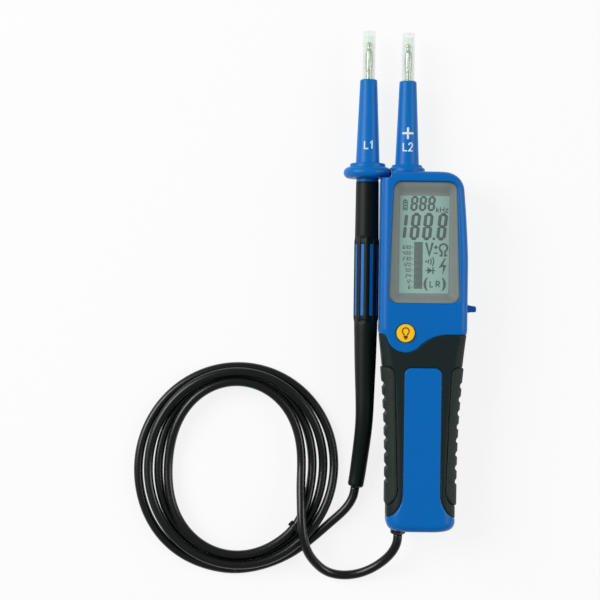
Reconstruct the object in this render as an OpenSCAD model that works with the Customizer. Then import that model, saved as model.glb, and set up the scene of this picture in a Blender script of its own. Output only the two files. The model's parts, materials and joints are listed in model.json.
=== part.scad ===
// Two-pole voltage tester: a hand-held main unit with a display and a fixed probe,
// and a second hand probe docked along its left side, joined by a coiled cable.
// Frame: X across, Y towards the probe tips, Z up. The unit lies on its back on Z = 0,
// and the origin is under the middle of the main unit.

/* [Main unit] */
// Y of the bottom end of the housing
body_bottom = -86.8; // [-110:0.1:-84]
// Y of the top end of the housing
body_top = 85.4; // [83:0.1:110]
// Half width of the head
head_half_w = 20.9; // [20:0.1:26]
// How far the top of the head leans in on the right
head_lean = 3; // [0:0.1:4]
// Half width of the grip
grip_half_w = 16.5; // [14:0.1:20]
// Depth of the head
head_depth = 27; // [25:0.1:34]
// Depth of the grip
grip_depth = 25; // [22:0.1:32]
// Y where the head's full width starts
head_start = 10; // [0:0.5:12]
// Y where the grip's least width starts
grip_start = -62; // [-70:0.5:-50]
// Wall thickness of the shells
wall = 2.2; // [1.6:0.1:3]
// Edge radius of the head
head_edge_r = 4; // [2:0.1:6]
// Edge radius of the grip
grip_edge_r = 7.5; // [4:0.1:9]
// Corner radius of the top right corner, seen from the front
top_corner_r = 8.6; // [5:0.1:12]
// Corner radius of the other corners, seen from the front
low_corner_r = 5; // [3:0.1:7]

/* [Grip] */
// Thickness of the soft overmould
grip_t = 1.2; // [0.8:0.1:1.6]
// Y of the straight top edge of the overmould
grip_top = 7.8; // [4:0.1:12]
// Radius of the blue tongue round the button
tongue_r = 9.2; // [7:0.1:11]
// Radius of the sweep from the tongue to the top edge
sweep_r = 20; // [12:0.5:26]
// Half width of the front panel between the overmould's arms
panel_half_w = 8.8; // [6:0.1:10]
// Y of the panel's top end
panel_top = -8.4; // [-14:0.1:-4]
// Y where the panel starts to flare
flare_start = -68.5; // [-74:0.1:-60]
// Radius of the flare
flare_r = 12.5; // [9:0.1:15]
// How far the grip pads stand proud of the overmould
pad_proud = 0.7; // [0.5:0.1:1.8]
// How deep the grip pads sit in the overmould
pad_sink = 0.6; // [0.3:0.1:0.8]
// Gap round each grip pad
pad_groove = 0.4; // [0.2:0.05:0.6]
// Number of notches in each grip pad
notch_count = 8; // [5:1:9]
// Pitch of the notches
notch_pitch = 6.55; // [5:0.05:7]
// Radius of a notch
notch_r = 1.5; // [1:0.1:2]

/* [Display and button] */
// Y of the window's lower edge
window_low = 22.6; // [18:0.1:26]
// Y of the window's upper edge
window_high = 80.3; // [70:0.1:81]
// Half width of the window at its lower edge
window_low_half = 16.9; // [14:0.1:17.2]
// Half width of the window at its upper edge
window_high_half = 15.1; // [12:0.1:16]
// Corner radius of the window
window_r = 4.2; // [2:0.1:6]
// Thickness of the lens
lens_t = 1.8; // [1:0.1:2.4]
// Visible width of the display
lcd_w = 23.8; // [18:0.1:26]
// Visible height of the display
lcd_h = 46.8; // [36:0.1:48]
// Margin of the display glass round its visible area
lcd_margin = 1.6; // [1:0.1:2]
// Thickness of the display glass
lcd_t = 2; // [1.2:0.1:2.6]
// X of the light button
button_x = -8.7; // [-12:0.1:-4]
// Y of the light button
button_y = 8.3; // [6:0.1:11]
// Radius of the light button
button_r = 4.3; // [3:0.1:5.5]
// How far the button stands proud
button_proud = 0.9; // [0.6:0.1:1.4]
// Gap between the button and its hole
button_gap = 0.25; // [0.15:0.05:0.4]

/* [Probes] */
// Distance between the two probe pins
pin_pitch = 19; // [18:0.1:22]
// Radius of a nose at its base
nose_base_r = 5.75; // [5:0.05:7]
// Radius of a nose at its tip
nose_tip_r = 4.15; // [3.6:0.05:5]
// Length of a nose's cone
nose_len = 40.5; // [30:0.5:55]
// Radius of a pin's shaft
pin_r = 1.4; // [1:0.05:2]
// Radius of the pin's lantern spring
lantern_r = 1.85; // [1.5:0.05:2.2]
// Length of a pin outside its nose
pin_len = 18.2; // [15:0.1:25]
// Outside radius of a tip cap
cap_r = 3.1; // [2.8:0.05:3.6]
// Wall of a tip cap
cap_wall = 0.9; // [0.5:0.05:1.0]
// Length of a tip cap
cap_len = 23.2; // [20:0.1:32]
// Radius of the hand probe's guard flange
guard_r = 11.6; // [10:0.1:13]
// Edge radius of the guard flange
guard_edge_r = 2.7; // [2:0.1:3.4]
// Radius of the fixed probe's base flange
flange_r = 8.7; // [7.5:0.1:10]
// Radius of the hand probe's handle at its upper end
handle_r = 5.4; // [4.8:0.1:6]
// Radius over the handle's ribs
rib_r = 6; // [5.6:0.1:6.6]
// Number of slots in the handle's sleeve
slot_count = 8; // [5:1:9]
// Width of a slot
slot_w = 1.7; // [1:0.1:2]
// Y of the upper end of the slots
slot_high = 51; // [44:0.5:60]
// Y of the lower end of the slots
slot_low = 16; // [10:0.5:24]
// Radius of the boot at its end
boot_end_r = 3.8; // [3:0.1:4]

/* [Cord] */
// Diameter of the cord
cord_d = 4.4; // [3.4:0.1:4.5]
// X of the cord bushing
bushing_x = -10.3; // [-11:0.1:-6]
// Radius of the bushing's outer flange
bushing_r = 3.65; // [3.2:0.05:5]

/* [Hidden] */
$fn = 48;

// Running gap between pieces that move against each other
run_gap = 0.3;
// Gap between pieces that seat in each other
seat_gap = 0.1;
// Small overlap of cutting tools past a face
eps = 0.01;
// Reach of cutting tools past the object
far = 60;

// The guard flange lies on the table beside the flat back, so the probe axis is at its radius
axis_z = guard_r;
// The hand probe is docked against the head's left side, and the fixed probe stands one pitch from it
dock_gap = 0.2;
hand_x = -(head_half_w + rib_r + dock_gap);
fixed_x = hand_x + pin_pitch;

// Edge radius of the housing's two ends
end_edge_r = 3.6;
// Least edge radius of a section
least_edge_r = 0.8;
// Y where the head's right side starts to lean in
lean_start = 40;

// Outline of the housing as functions of Y
function clamp(v, a, b) = min(max(v, a), b);
function mix(a, b, t) = a + (b - a) * t;
function flare(y) = pow(clamp((y - grip_start) / (head_start - grip_start), 0, 1), 2);
function round_in(d, r) = d <= 0 ? 0 : r - sqrt(max(r * r - min(d, r) * min(d, r), 0));
function side_w(y) = mix(grip_half_w, head_half_w, flare(y));
function edge_r(y) = mix(grip_edge_r, head_edge_r, flare(y));
function front_z(y) = mix(grip_depth, head_depth, flare(y));

// Half widths right and left, and heights, of the housing drawn in by inset
function low_in(y, i, r) = round_in(body_bottom + i + r - y, r);
function high_in(y, i, r) = round_in(y - (body_top - i - r), r);
function lean(y) = head_lean * pow(clamp((y - lean_start) / (body_top - lean_start), 0, 1), 1.5);
function right_w(y, i) =
    side_w(y) - lean(y) - i - high_in(y, i, top_corner_r - i) - low_in(y, i, low_corner_r - i);
function left_w(y, i) = side_w(y) - i - high_in(y, i, low_corner_r - i) - low_in(y, i, low_corner_r - i);
function end_in(y, i) = high_in(y, i, end_edge_r - i) + low_in(y, i, end_edge_r - i);
function top_z(y, i) = front_z(y) - i - end_in(y, i);
function back_z(y, i) = i + end_in(y, i);

// Stations along Y: close together where the ends are rounded
function stations(i) = let (a = body_bottom + i, b = body_top - i, r = top_corner_r, s = low_corner_r) concat(
    [for (k = [0 : 3]) a + s * (1 - cos(k * 30))],
    [for (k = [1 : 7]) mix(a + s, head_start, k / 8)],
    [head_start],
    [for (k = [0 : 2]) mix(lean_start, b - r, k / 3)],
    [for (k = [0 : 5]) b - r + r * sin(k * 18)]);

// One closed ring of the housing's section, from the right side over the front to the left and back
arc_n = 4;
function corner(cx, cz, r, a) =
    [for (k = [0 : arc_n]) let (q = a + 90 * k / arc_n) [cx + r * cos(q), cz + r * sin(q)]];
function section(y, i) =
    let (w = right_w(y, i), v = left_w(y, i), t = top_z(y, i), b = back_z(y, i))
    let (r = clamp(edge_r(y) - i, least_edge_r, min(w, v)))
    [for (p = concat(
        corner(w - r, b + r, r, -90), corner(w - r, t - r, r, 0),
        corner(-v + r, t - r, r, 90), corner(-v + r, b + r, r, 180))) [p[0], y, p[1]]];

// A loft through rings that all have the same number of points
module loft(rings) {
    n = len(rings[0]);
    m = len(rings);
    polyhedron(
        points = [for (r = rings) each r],
        faces = concat(
            [[for (k = [n - 1 : -1 : 0]) k]],
            [for (j = [0 : m - 2]) for (k = [0 : n - 1]) let (a = j * n + k, b = j * n + (k + 1) % n)
                each [[a, b, a + n], [b, b + n, a + n]]],
            [[for (k = [0 : n - 1]) (m - 1) * n + k]]));
}

// The housing's outer form drawn in by inset (out when negative), and its front and rear halves
module form(inset) {
    loft([for (y = stations(inset)) section(y, inset)]);
}
module front_half() {
    translate([-far, -3 * far, axis_z]) cube([2 * far, 6 * far, far]);
}
module rear_half() {
    translate([-far, -3 * far, axis_z - far]) cube([2 * far, 6 * far, far]);
}

// The seat in the top left corner that the hand probe's guard drops into
guard_y = body_top - 0.2;
seat_x = hand_x + guard_r - guard_edge_r;
module guard_seat() {
    seat_r = guard_edge_r + run_gap;
    translate([seat_x, guard_y, -far]) cylinder(r = seat_r, h = 2 * far);
    translate([seat_x - far, guard_y - seat_r, -far]) cube([far, far, 2 * far]);
}

// Overmould outline, seen from the front
fillet_r = 2.5;
panel_r = 3.2;
cover_w = 25;
cover_margin = 1;
rear_panel_half_w = cover_w / 2 + cover_margin;
function sweep_x(r, s) = button_x + s * sqrt(pow(tongue_r + r, 2) - pow(button_y - grip_top + r, 2));
module tongue_fillet(r, s) {
    cx = sweep_x(r, s);
    difference() {
        polygon([[button_x, button_y], [cx, grip_top + 1], [cx, grip_top - r]]);
        translate([cx, grip_top - r]) circle(r = r, $fn = 96);
    }
}
module blue_top() {
    translate([-far, grip_top]) square([2 * far, far]);
    translate([button_x, button_y]) circle(r = tongue_r);
    tongue_fillet(sweep_r, 1);
    tongue_fillet(fillet_r, -1);
}
module panel_outline(half_w, r) {
    translate([-half_w, body_bottom - far]) square([2 * half_w, panel_top - r - body_bottom + far]);
    translate([-half_w + r, panel_top - 2 * r]) square([2 * half_w - 2 * r, 2 * r]);
    for (s = [-1, 1]) translate([s * (half_w - r), panel_top - r]) circle(r = r);
}
module arms_outline(half_w) {
    translate([-far, flare_start]) square([2 * far, far * 2]);
    for (s = [-1, 1]) translate([s * (half_w + flare_r), flare_start]) circle(r = flare_r);
}
module front_black() {
    difference() {
        arms_outline(panel_half_w);
        blue_top();
        panel_outline(panel_half_w, panel_r);
    }
}
module rear_black() {
    difference() {
        arms_outline(rear_panel_half_w);
        translate([-far, grip_top]) square([2 * far, far]);
        panel_outline(rear_panel_half_w, panel_r);
    }
}

// Grip pads
pad_top = -8;
pad_low = -74.8;
pad_in_top = grip_half_w - 3;
pad_in_low = grip_half_w - 4.9;
pad_top_r = 3.5;
pad_low_r = 8;
pad_back = 3.5;
notch_first = pad_top - 8.7;
notch_sit = 0.25;
module pad_outline(s, grow) {
    hull() {
        translate([s * (pad_in_top + pad_top_r), pad_top - pad_top_r]) circle(r = pad_top_r + grow, $fn = 32);
        translate([s * (pad_in_low + pad_low_r), pad_low + pad_low_r]) circle(r = pad_low_r + grow, $fn = 32);
        translate([s * far / 2, (pad_top + pad_low) / 2])
            square([1, pad_top - pad_low + 2 * grow], center = true);
    }
}
module pad_prism(s, grow) {
    translate([0, 0, pad_back - grow]) linear_extrude(far) pad_outline(s, grow);
}
module pad_recess() {
    difference() {
        union() {
            pad_prism(-1, pad_groove);
            pad_prism(1, pad_groove);
        }
        form(pad_sink);
    }
}
module grip_pad(s) {
    color("#22262a") difference() {
        intersection() {
            form(-pad_proud);
            pad_prism(s, 0);
        }
        form(pad_sink);
        for (k = [0 : notch_count - 1]) {
            y = notch_first - k * notch_pitch;
            translate([s * (side_w(y) + pad_proud + notch_r * notch_sit), y, -far])
                cylinder(r = notch_r, h = 2 * far, $fn = 24);
        }
    }
}
module left_grip_pad() grip_pad(-1);
module right_grip_pad() grip_pad(1);

module front_prism() {
    translate([0, 0, axis_z]) linear_extrude(far) front_black();
}
module rear_prism() {
    translate([0, 0, axis_z - far]) linear_extrude(far) rear_black();
}
module front_grip() {
    color("#2b2f33") difference() {
        intersection() {
            form(0);
            front_prism();
        }
        form(grip_t);
        pad_recess();
    }
}
module rear_grip() {
    color("#2b2f33") difference() {
        intersection() {
            form(0);
            rear_prism();
        }
        form(grip_t);
        pad_recess();
    }
}

// Screws that hold the two shells, from the back
screw_r = 1.2;
screw_head_r = 2.4;
screw_head_h = 1.8;
boss_r = 2.9;
screw_spots = [for (s = [-1, 1]) each
    [[s * (head_half_w - 5.5), 13.8], [s * (grip_half_w - 7), body_bottom + 11.6]]];
screw_len = 14;
screw_sink = 2;
drive_w = 0.6;
boss_root = 0.5;

// Cavity of the housing
module cavity() {
    form(wall);
}
module probe_bore() {
    translate([fixed_x, body_top - 3 * wall, axis_z]) rotate([-90, 0, 0])
        cylinder(r = spigot_r + seat_gap, h = far);
}
module bushing_bore() {
    translate([bushing_x, body_bottom - eps, axis_z]) rotate([-90, 0, 0])
        cylinder(r = bushing_neck_r + seat_gap, h = 3 * wall);
}
spigot_r = 4.6;
bushing_neck_r = 2.9;
bushing_lip_r = 3.3;
bushing_lip_y = wall + 1.5;
bushing_edge = 0.6;

// Window outline grown by g
module window_outline(g) {
    hull() for (s = [-1, 1]) {
        translate([s * (window_high_half - window_r), window_high - window_r])
            circle(r = window_r + g, $fn = 32);
        translate([s * (window_low_half - window_r), window_low + window_r])
            circle(r = window_r + g, $fn = 32);
    }
}
// The display stack hangs from the front wall
lens_sink = 0.4;
lens_z = head_depth - lens_sink - lens_t;
frame_h = 3.4;
frame_draft = 0.9;
frame_z = head_depth - wall - frame_h;
lcd_z = frame_z - lcd_t;
board_t = 1.6;
strip_h = 2.4;
strip_w = 1.6;
board_z = lcd_z - strip_h - board_t;
lcd_drop = 0.8;
lcd_y = (window_low + window_high) / 2 - lcd_drop;
ledge = 1.6;

// The finger-guard lug on the head's right side
lug_reach = 5;
lug_y = 19.2;
lug_h = 5.5;
lug_edge = 0.6;
module lug() {
    translate([head_half_w, lug_y, axis_z]) linear_extrude(lug_h) polygon([[-wall, -3.6], [0, -2.5],
        [lug_reach - lug_edge, -1.6], [lug_reach, -1], [lug_reach, 1.1], [0, 2.8], [-wall, 3.4]]);
}
module front_shell() {
    color("#0f63b8") difference() {
        union() {
            difference() {
                intersection() {
                    form(0);
                    front_half();
                }
                cavity();
            }
            lug();
            for (p = screw_spots) translate([p[0], p[1], axis_z])
                cylinder(r = boss_r, h = front_z(p[1]) - wall - axis_z + boss_root);
        }
        difference() {
            translate([0, 0, -eps]) front_prism();
            form(grip_t);
        }
        translate([0, 0, lens_z - seat_gap]) linear_extrude(far) window_outline(seat_gap);
        translate([0, 0, axis_z]) linear_extrude(far) window_outline(-ledge);
        translate([button_x, button_y, axis_z]) cylinder(r = button_r + button_gap, h = far);
        for (p = screw_spots) translate([p[0], p[1], axis_z - eps])
            cylinder(r = screw_r, h = screw_len - axis_z + screw_sink + 1);
        probe_bore();
        bushing_bore();
        guard_seat();
    }
}

// Battery compartment in the back
cell_r = 5.25;
cell_len = 44.5;
nub_r = 1.9;
nub_h = 1.2;
spring_h = 2.2;
cell_pitch = 2 * cell_r + 0.4;
cover_low = -70;
cover_high = -10.5;
cover_r = 3;
cover_t = wall;
cover_gap = 0.2;
thumb_r = 0.8;
seal_h = 0.8;
shelf_w = 1.6;
shelf_t = 1.2;
rim_w = 1.4;
cover_screw_y = cover_low + 3.4;
cell_y = cover_low + 12.7;
cover_head_r = 2.1;
cover_head_h = 1;
cover_screw_len = 8;
module cover_outline(g) {
    hull() for (s = [-1, 1]) for (y = [cover_low + cover_r, cover_high - cover_r])
        translate([s * (cover_w / 2 - cover_r), y]) circle(r = cover_r + g, $fn = 32);
}
module rear_shell() {
    color("#0f63b8") difference() {
        union() {
            difference() {
                intersection() {
                    form(0);
                    rear_half();
                }
                cavity();
            }
            translate([0, 0, cover_t + seal_h]) linear_extrude(shelf_t) cover_outline(rim_w);
            translate([0, 0, wall / 2]) linear_extrude(cover_t + seal_h + shelf_t - wall / 2) difference() {
                cover_outline(rim_w);
                cover_outline(cover_gap);
            }
            for (p = screw_spots) translate([p[0], p[1], wall - boss_root])
                cylinder(r = boss_r + 0.6, h = axis_z - wall + boss_root);
            translate([0, cover_screw_y, cover_t + seal_h]) cylinder(r = boss_r, h = cover_screw_len - 1);
        }
        difference() {
            translate([0, 0, eps]) rear_prism();
            form(grip_t);
        }
        translate([0, 0, -eps]) linear_extrude(cover_t + seal_h + eps) cover_outline(cover_gap);
        difference() {
            translate([0, 0, -eps]) linear_extrude(far) cover_outline(-shelf_w);
            translate([0, cover_screw_y, cover_t + seal_h]) cylinder(r = boss_r, h = far);
        }
        translate([0, cover_screw_y, -eps]) cylinder(r = screw_r, h = cover_screw_len + 1);
        for (p = screw_spots) translate([p[0], p[1], -eps]) {
            cylinder(r = screw_r + seat_gap, h = far);
            cylinder(r = screw_head_r + seat_gap, h = screw_sink + screw_head_h);
        }
        probe_bore();
        bushing_bore();
        guard_seat();
    }
}
module drive(depth) {
    translate([-screw_r, -drive_w / 2, -eps]) cube([2 * screw_r, drive_w, depth]);
}
module screw(len) {
    cylinder(r = screw_head_r, h = screw_head_h - seat_gap);
    cylinder(r = screw_r, h = len);
}
module housing_screws() {
    color("silver") for (p = screw_spots) translate([p[0], p[1], screw_sink]) difference() {
        screw(screw_len);
        drive(0.8);
        rotate(90) drive(0.8);
    }
}
module battery_cover() {
    color("#0f63b8") difference() {
        linear_extrude(cover_t) cover_outline(0);
        translate([0, cover_screw_y, -eps]) cylinder(r = screw_r + seat_gap, h = far);
        translate([0, cover_screw_y, -eps]) cylinder(r = cover_head_r + seat_gap, h = cover_head_h + 0.3);
        for (k = [0 : 4]) translate([0, cover_high - 6 - 1.8 * k, -thumb_r / 2]) rotate([0, 90, 0])
            cylinder(r = thumb_r, h = cover_w / 2, center = true, $fn = 24);
    }
}
module battery_cover_screw() {
    color("silver") translate([0, cover_screw_y, 0.2]) difference() {
        union() {
            cylinder(r = cover_head_r, h = cover_head_h);
            cylinder(r = screw_r, h = cover_screw_len);
        }
        drive(0.5);
    }
}
module battery_seal() {
    color("#303030") translate([0, 0, cover_t]) linear_extrude(seal_h) difference() {
        cover_outline(0);
        cover_outline(-shelf_w);
    }
}
cell_z = cover_t + seal_h + cell_r - 0.5;
module batteries() {
    color("#b8b8b0") for (s = [-1, 1]) translate([s * cell_pitch / 2, cell_y, cell_z]) rotate([-90, 0, 0]) {
        cylinder(r = cell_r, h = cell_len - nub_h);
        cylinder(r = nub_r, h = cell_len);
    }
}
contact_t = 0.5;
contact_w = 2 * cell_pitch - 3;
module battery_springs() {
    color("silver") for (e = [0, 1]) {
        y = e == 0 ? cell_y - spring_h - contact_t : cell_y + cell_len;
        translate([-contact_w / 2, y, cell_z - cell_r + 1]) cube([contact_w, contact_t, 2 * cell_r - 2]);
        if (e == 0) for (s = [-1, 1]) translate([s * cell_pitch / 2, y + contact_t, cell_z])
            rotate([-90, 0, 0]) cylinder(r1 = nub_r + 1.5, r2 = nub_r, h = spring_h);
    }
}

// Display stack and electronics
module display_lens() {
    color([0.8, 0.85, 0.85, 0.4]) translate([0, 0, lens_z]) linear_extrude(lens_t) window_outline(-seat_gap);
}
module lcd_rect(g) {
    translate([-lcd_w / 2 - g, lcd_y - lcd_h / 2 - g]) square([lcd_w + 2 * g, lcd_h + 2 * g]);
}
module display_frame() {
    color("#8a918c") difference() {
        translate([0, 0, frame_z]) linear_extrude(lens_z - frame_z) window_outline(-ledge - seat_gap);
        hull() {
            translate([0, 0, lens_z]) linear_extrude(eps) lcd_rect(frame_draft);
            translate([0, 0, frame_z - eps]) linear_extrude(eps) lcd_rect(0);
        }
    }
}
module lcd_panel() {
    color("#9fb3a6") translate([0, 0, lcd_z]) linear_extrude(lcd_t) lcd_rect(lcd_margin);
}
module backlight_plate() {
    color("white") translate([0, 0, board_z + board_t]) linear_extrude(strip_h) lcd_rect(-strip_w);
}
module contact_strips() {
    color("#e06a90") for (s = [-1, 1])
        translate([-lcd_w / 2, lcd_y + s * lcd_h / 2 - strip_w / 2, lcd_z - strip_h])
            cube([lcd_w, strip_w, strip_h]);
}
board_margin = 1.6;
board_half_w = head_half_w - wall - board_margin;
board_low = 0;
board_low_w = min(board_half_w, side_w(board_low) - wall - run_gap);
board_high = body_top - wall - 3;
board_corner = 4;
module circuit_board() {
    color("#2f7d4a") translate([0, 0, board_z]) linear_extrude(board_t) difference() {
        polygon([[-board_low_w, board_low], [board_low_w, board_low], [board_half_w, head_start],
            [board_half_w, lean_start], [board_half_w - head_lean, board_high],
            [-board_half_w, board_high], [-board_half_w, head_start]]);
        for (p = screw_spots) translate(p) circle(r = boss_r + run_gap);
        translate([board_half_w - head_lean - board_corner, board_high - board_corner]) square(far);
        translate([fixed_x + spigot_r + run_gap - far, body_top - spigot_len - 2 * run_gap]) square(far);
    }
}
// Parts on the back of the board, round the middle of the display
chip_w = 12;
chip_h = 1.6;
leg_pitch = 1.1;
leg_w = 0.4;
leg_len = 1.4;
leg_h = 0.7;
module controller_chip() {
    color("#1c1c1c") translate([-2, lcd_y - 4, board_z]) {
        translate([0, 0, -chip_h]) linear_extrude(chip_h) square(chip_w, center = true);
        for (a = [0 : 90 : 270]) for (k = [-4 : 4]) rotate(a)
            translate([chip_w / 2 - 0.1, k * leg_pitch - leg_w / 2, -leg_h]) cube([leg_len, leg_w, leg_h]);
    }
}
switch_h = 3.2;
switch_w = 6;
plunger_r = 1.6;
plunger_h = 0.8;
module tact_switch() {
    color("#303030") translate([button_x, button_y, board_z + board_t]) {
        translate([-switch_w / 2, -switch_w / 2, 0]) cube([switch_w, switch_w, switch_h - plunger_h]);
        cylinder(r = plunger_r, h = switch_h);
    }
}
buzzer_r = 6.2;
buzzer_h = 5.2;
module buzzer() {
    color("#202020") translate([7.5, lcd_y - 25, board_z - buzzer_h]) difference() {
        cylinder(r = buzzer_r, h = buzzer_h);
        translate([0, 0, -eps]) cylinder(r = 1, h = 2);
    }
}
resistor_r = 1.9;
resistor_len = 9;
lead_r = 0.4;
lead_len = 3;
module input_resistors() {
    color("#b8926a") for (k = [0 : 2])
        translate([4 + 4.4 * k, lcd_y + 8, board_z - resistor_r]) rotate([-90, 0, 0]) {
            cylinder(r = resistor_r, h = resistor_len);
            translate([0, 0, -lead_len]) cylinder(r = lead_r, h = resistor_len + 2 * lead_len);
        }
}
button_crown = 0.4;
button_travel = 0.8;
button_rim = 1;
stem_r = 2;
module light_button() {
    top = front_z(button_y) + button_proud;
    foot = board_z + board_t + switch_h + seat_gap / 2 + button_travel;
    rim = front_z(button_y - button_r - button_rim) - wall - seat_gap;
    color("#f2b61c") translate([button_x, button_y, 0]) rotate_extrude() polygon(concat(
        [[0, foot], [stem_r, foot], [stem_r, rim - button_rim], [button_r + button_rim, rim - button_rim]],
        [[button_r + button_rim, rim], [button_r, rim]],
        arc_pts(button_r - button_crown, top - button_crown, button_crown, 0, 90, 6),
        [[0, top]]));
}

// Probe pieces are turned round the probe axis, drawn with the axis along Y
module turned(x, profile) {
    translate([x, 0, axis_z]) rotate([-90, 0, 0]) rotate_extrude($fn = 64) polygon(profile);
}
function arc_pts(cx, cy, r, a, b, n) =
    [for (k = [0 : n]) let (q = a + (b - a) * k / n) [cx + r * cos(q), cy + r * sin(q)]];
nose_edge_r = 0.8;
function cone_pts(y0) = concat(
    [[nose_base_r, y0], [nose_tip_r, y0 + nose_len - nose_edge_r]],
    arc_pts(nose_tip_r - nose_edge_r, y0 + nose_len - nose_edge_r, nose_edge_r, 0, 90, 4),
    [[0, y0 + nose_len]]);
flange_h = 2.4;
flange_low_r = 0.4;
flange_edge_r = 0.9;
step_r = 0.6;
step_w = 1;
fixed_nose_y = body_top + flange_h + 1.4;
hand_nose_y = guard_y + 4.6;
spigot_len = wall + 4;
module fixed_probe_nose() {
    color("#0f63b8") difference() {
        turned(fixed_x, concat(
            [[0, body_top - spigot_len], [spigot_r, body_top - spigot_len], [spigot_r, body_top]],
            arc_pts(flange_r - flange_low_r, body_top + flange_low_r, flange_low_r, -90, 0, 2),
            arc_pts(flange_r - flange_edge_r, body_top + flange_h - flange_edge_r, flange_edge_r, 0, 90, 4),
            arc_pts(nose_base_r + step_w, fixed_nose_y - step_r, step_r, 0, 90, 3),
            cone_pts(fixed_nose_y)));
        pin_bore(fixed_x, fixed_nose_y, body_top - spigot_len);
        guard_seat();
    }
}
module pin_bore(x, y0, low) {
    tip = y0 + nose_len;
    translate([x, low - eps, axis_z]) rotate([-90, 0, 0])
        cylinder(r = pin_r + seat_gap / 2, h = tip - low + 1);
}
// The pin swells into a lantern of four leaves, then narrows to a neck under a ball point
lantern_low = 3.5;
neck_len = 1.2;
neck_r = 0.72 * pin_r;
leaf_gap = 0.5;
leaf_margin = 1.5;
pin_tail = 1.5;
function pin_pts(low, tip) = let (end = tip + pin_len, a = tip + lantern_low, b = end - 2 - neck_len) concat(
    [[0, low], [pin_r, low], [pin_r, a]],
    [for (k = [1 : 7]) [mix(pin_r, lantern_r, sin(22.5 * k)), mix(a, b, k / 8)]],
    [[neck_r, b], [neck_r, b + neck_len]],
    arc_pts(0, end - pin_r, pin_r, -25, 90, 6));
module pin(x, low, tip) {
    leaf_low = lantern_low + leaf_margin;
    leaf_len = pin_len - 2 - neck_len - leaf_margin - leaf_low;
    color("#d8d4c8") difference() {
        turned(x, pin_pts(low, tip));
        for (a = [0, 90]) translate([x, tip + leaf_low, axis_z]) rotate([0, a, 0])
            translate([-leaf_gap / 2, 0, -far / 2]) cube([leaf_gap, leaf_len, far]);
    }
}
fixed_pin_low = body_top - spigot_len - pin_tail;
module fixed_probe_pin() pin(fixed_x, fixed_pin_low, fixed_nose_y + nose_len);
// A solder lug from the pin's tail to the back of the board
lug_w = 4;
lug_t = 1.2;
lug_foot = 6;
module fixed_pin_contact() {
    color("silver") translate([fixed_x, fixed_pin_low, axis_z]) {
        translate([-lug_w / 2, -lug_t, -lug_w / 2]) cube([lug_w, lug_t, board_z - axis_z + lug_w / 2]);
        translate([-lug_w / 2, -lug_foot, board_z - axis_z - lug_t / 2]) cube([lug_w, lug_foot, lug_t / 2]);
    }
}
cap_edge_r = 0.5;
cap_top_t = 2.4;
module tip_cap(x, tip) {
    base = tip + 1.5 * seat_gap;
    end = base + cap_len;
    color([0.9, 0.95, 0.92, 0.5]) turned(x, concat(
        [[cap_r - cap_wall, base], [cap_r, base]],
        arc_pts(cap_r - cap_edge_r, end - cap_edge_r, cap_edge_r, 0, 90, 3),
        [[0, end], [0, end - cap_top_t], [cap_r - cap_wall, end - cap_top_t]]));
}
module fixed_tip_cap() tip_cap(fixed_x, fixed_nose_y + nose_len);
module hand_tip_cap() tip_cap(hand_x, hand_nose_y + nose_len);

// Hand probe
neck_low = guard_y - 4.4;
collar_r = 8.6;
collar_edge_r = 0.9;
plug_len = 7;
core_r = 4.9;
core_bore_r = 2.9;
module hand_probe_nose() {
    c = guard_r - guard_edge_r;
    plug_r = core_bore_r - seat_gap;
    color("#0f63b8") difference() {
        turned(hand_x, concat(
            [[0, neck_low - plug_len], [plug_r, neck_low - plug_len], [plug_r, neck_low]],
            [[handle_r, neck_low], [handle_r, guard_y - guard_edge_r]],
            arc_pts(c, guard_y, guard_edge_r, -90, 78, 10),
            [[collar_r, guard_y + guard_edge_r]],
            arc_pts(collar_r - collar_edge_r, hand_nose_y - collar_edge_r, collar_edge_r, 0, 90, 4),
            cone_pts(hand_nose_y)));
        pin_bore(hand_x, hand_nose_y, neck_low - plug_len);
    }
}
module hand_probe_pin() pin(hand_x, neck_low - plug_len - pin_tail, hand_nose_y + nose_len);

// The handle: a blue core inside a slotted black sleeve
core_low = -10;
handle_low = -22;
handle_low_r = 4.3;
core_pts = [[core_r, neck_low], [core_r, slot_low - 8],
    [core_r - 1, slot_low - 14], [core_r - 1.5, core_low]];
sleeve_pts = [[handle_r, neck_low], [handle_r + 0.2, slot_high + 2.6], [rib_r, slot_high + 1],
    [rib_r, slot_low - 1], [handle_r + 0.25, slot_low - 2.6], [handle_r + 0.2, slot_low - 7],
    [handle_low_r + 0.54, core_low - 0.4], [handle_low_r, handle_low]];
module at_slots() {
    for (k = [0 : slot_count - 1]) translate([hand_x, slot_low, axis_z])
        rotate([0, (k + 0.5) * 360 / slot_count, 0]) children();
}
core_root = 0.5;
slot_proud = 0.15;
bar_h = handle_r + slot_proud - core_r + core_root;
module hand_probe_core() {
    color("#1d5fc0") {
        turned(hand_x, concat([[core_bore_r, neck_low]], core_pts, [[core_bore_r, core_low]]));
        at_slots() translate([-slot_w / 2 + seat_gap, run_gap, core_r - core_root])
            cube([slot_w - 2 * seat_gap, slot_high - slot_low - 2 * run_gap, bar_h]);
    }
}
wire_bore_r = 1.2;
module hand_probe_sleeve() {
    bore = [for (k = [3 : -1 : 0]) [core_pts[k][0] + seat_gap, core_pts[k][1] - (k == 3 ? 1 : 0)]];
    color("#24282b") difference() {
        turned(hand_x, concat(sleeve_pts, [[wire_bore_r, handle_low], [wire_bore_r, core_low - 1]], bore));
        at_slots() translate([-slot_w / 2, 0, core_r - core_root])
            cube([slot_w, slot_high - slot_low, far / 10]);
    }
}
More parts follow.
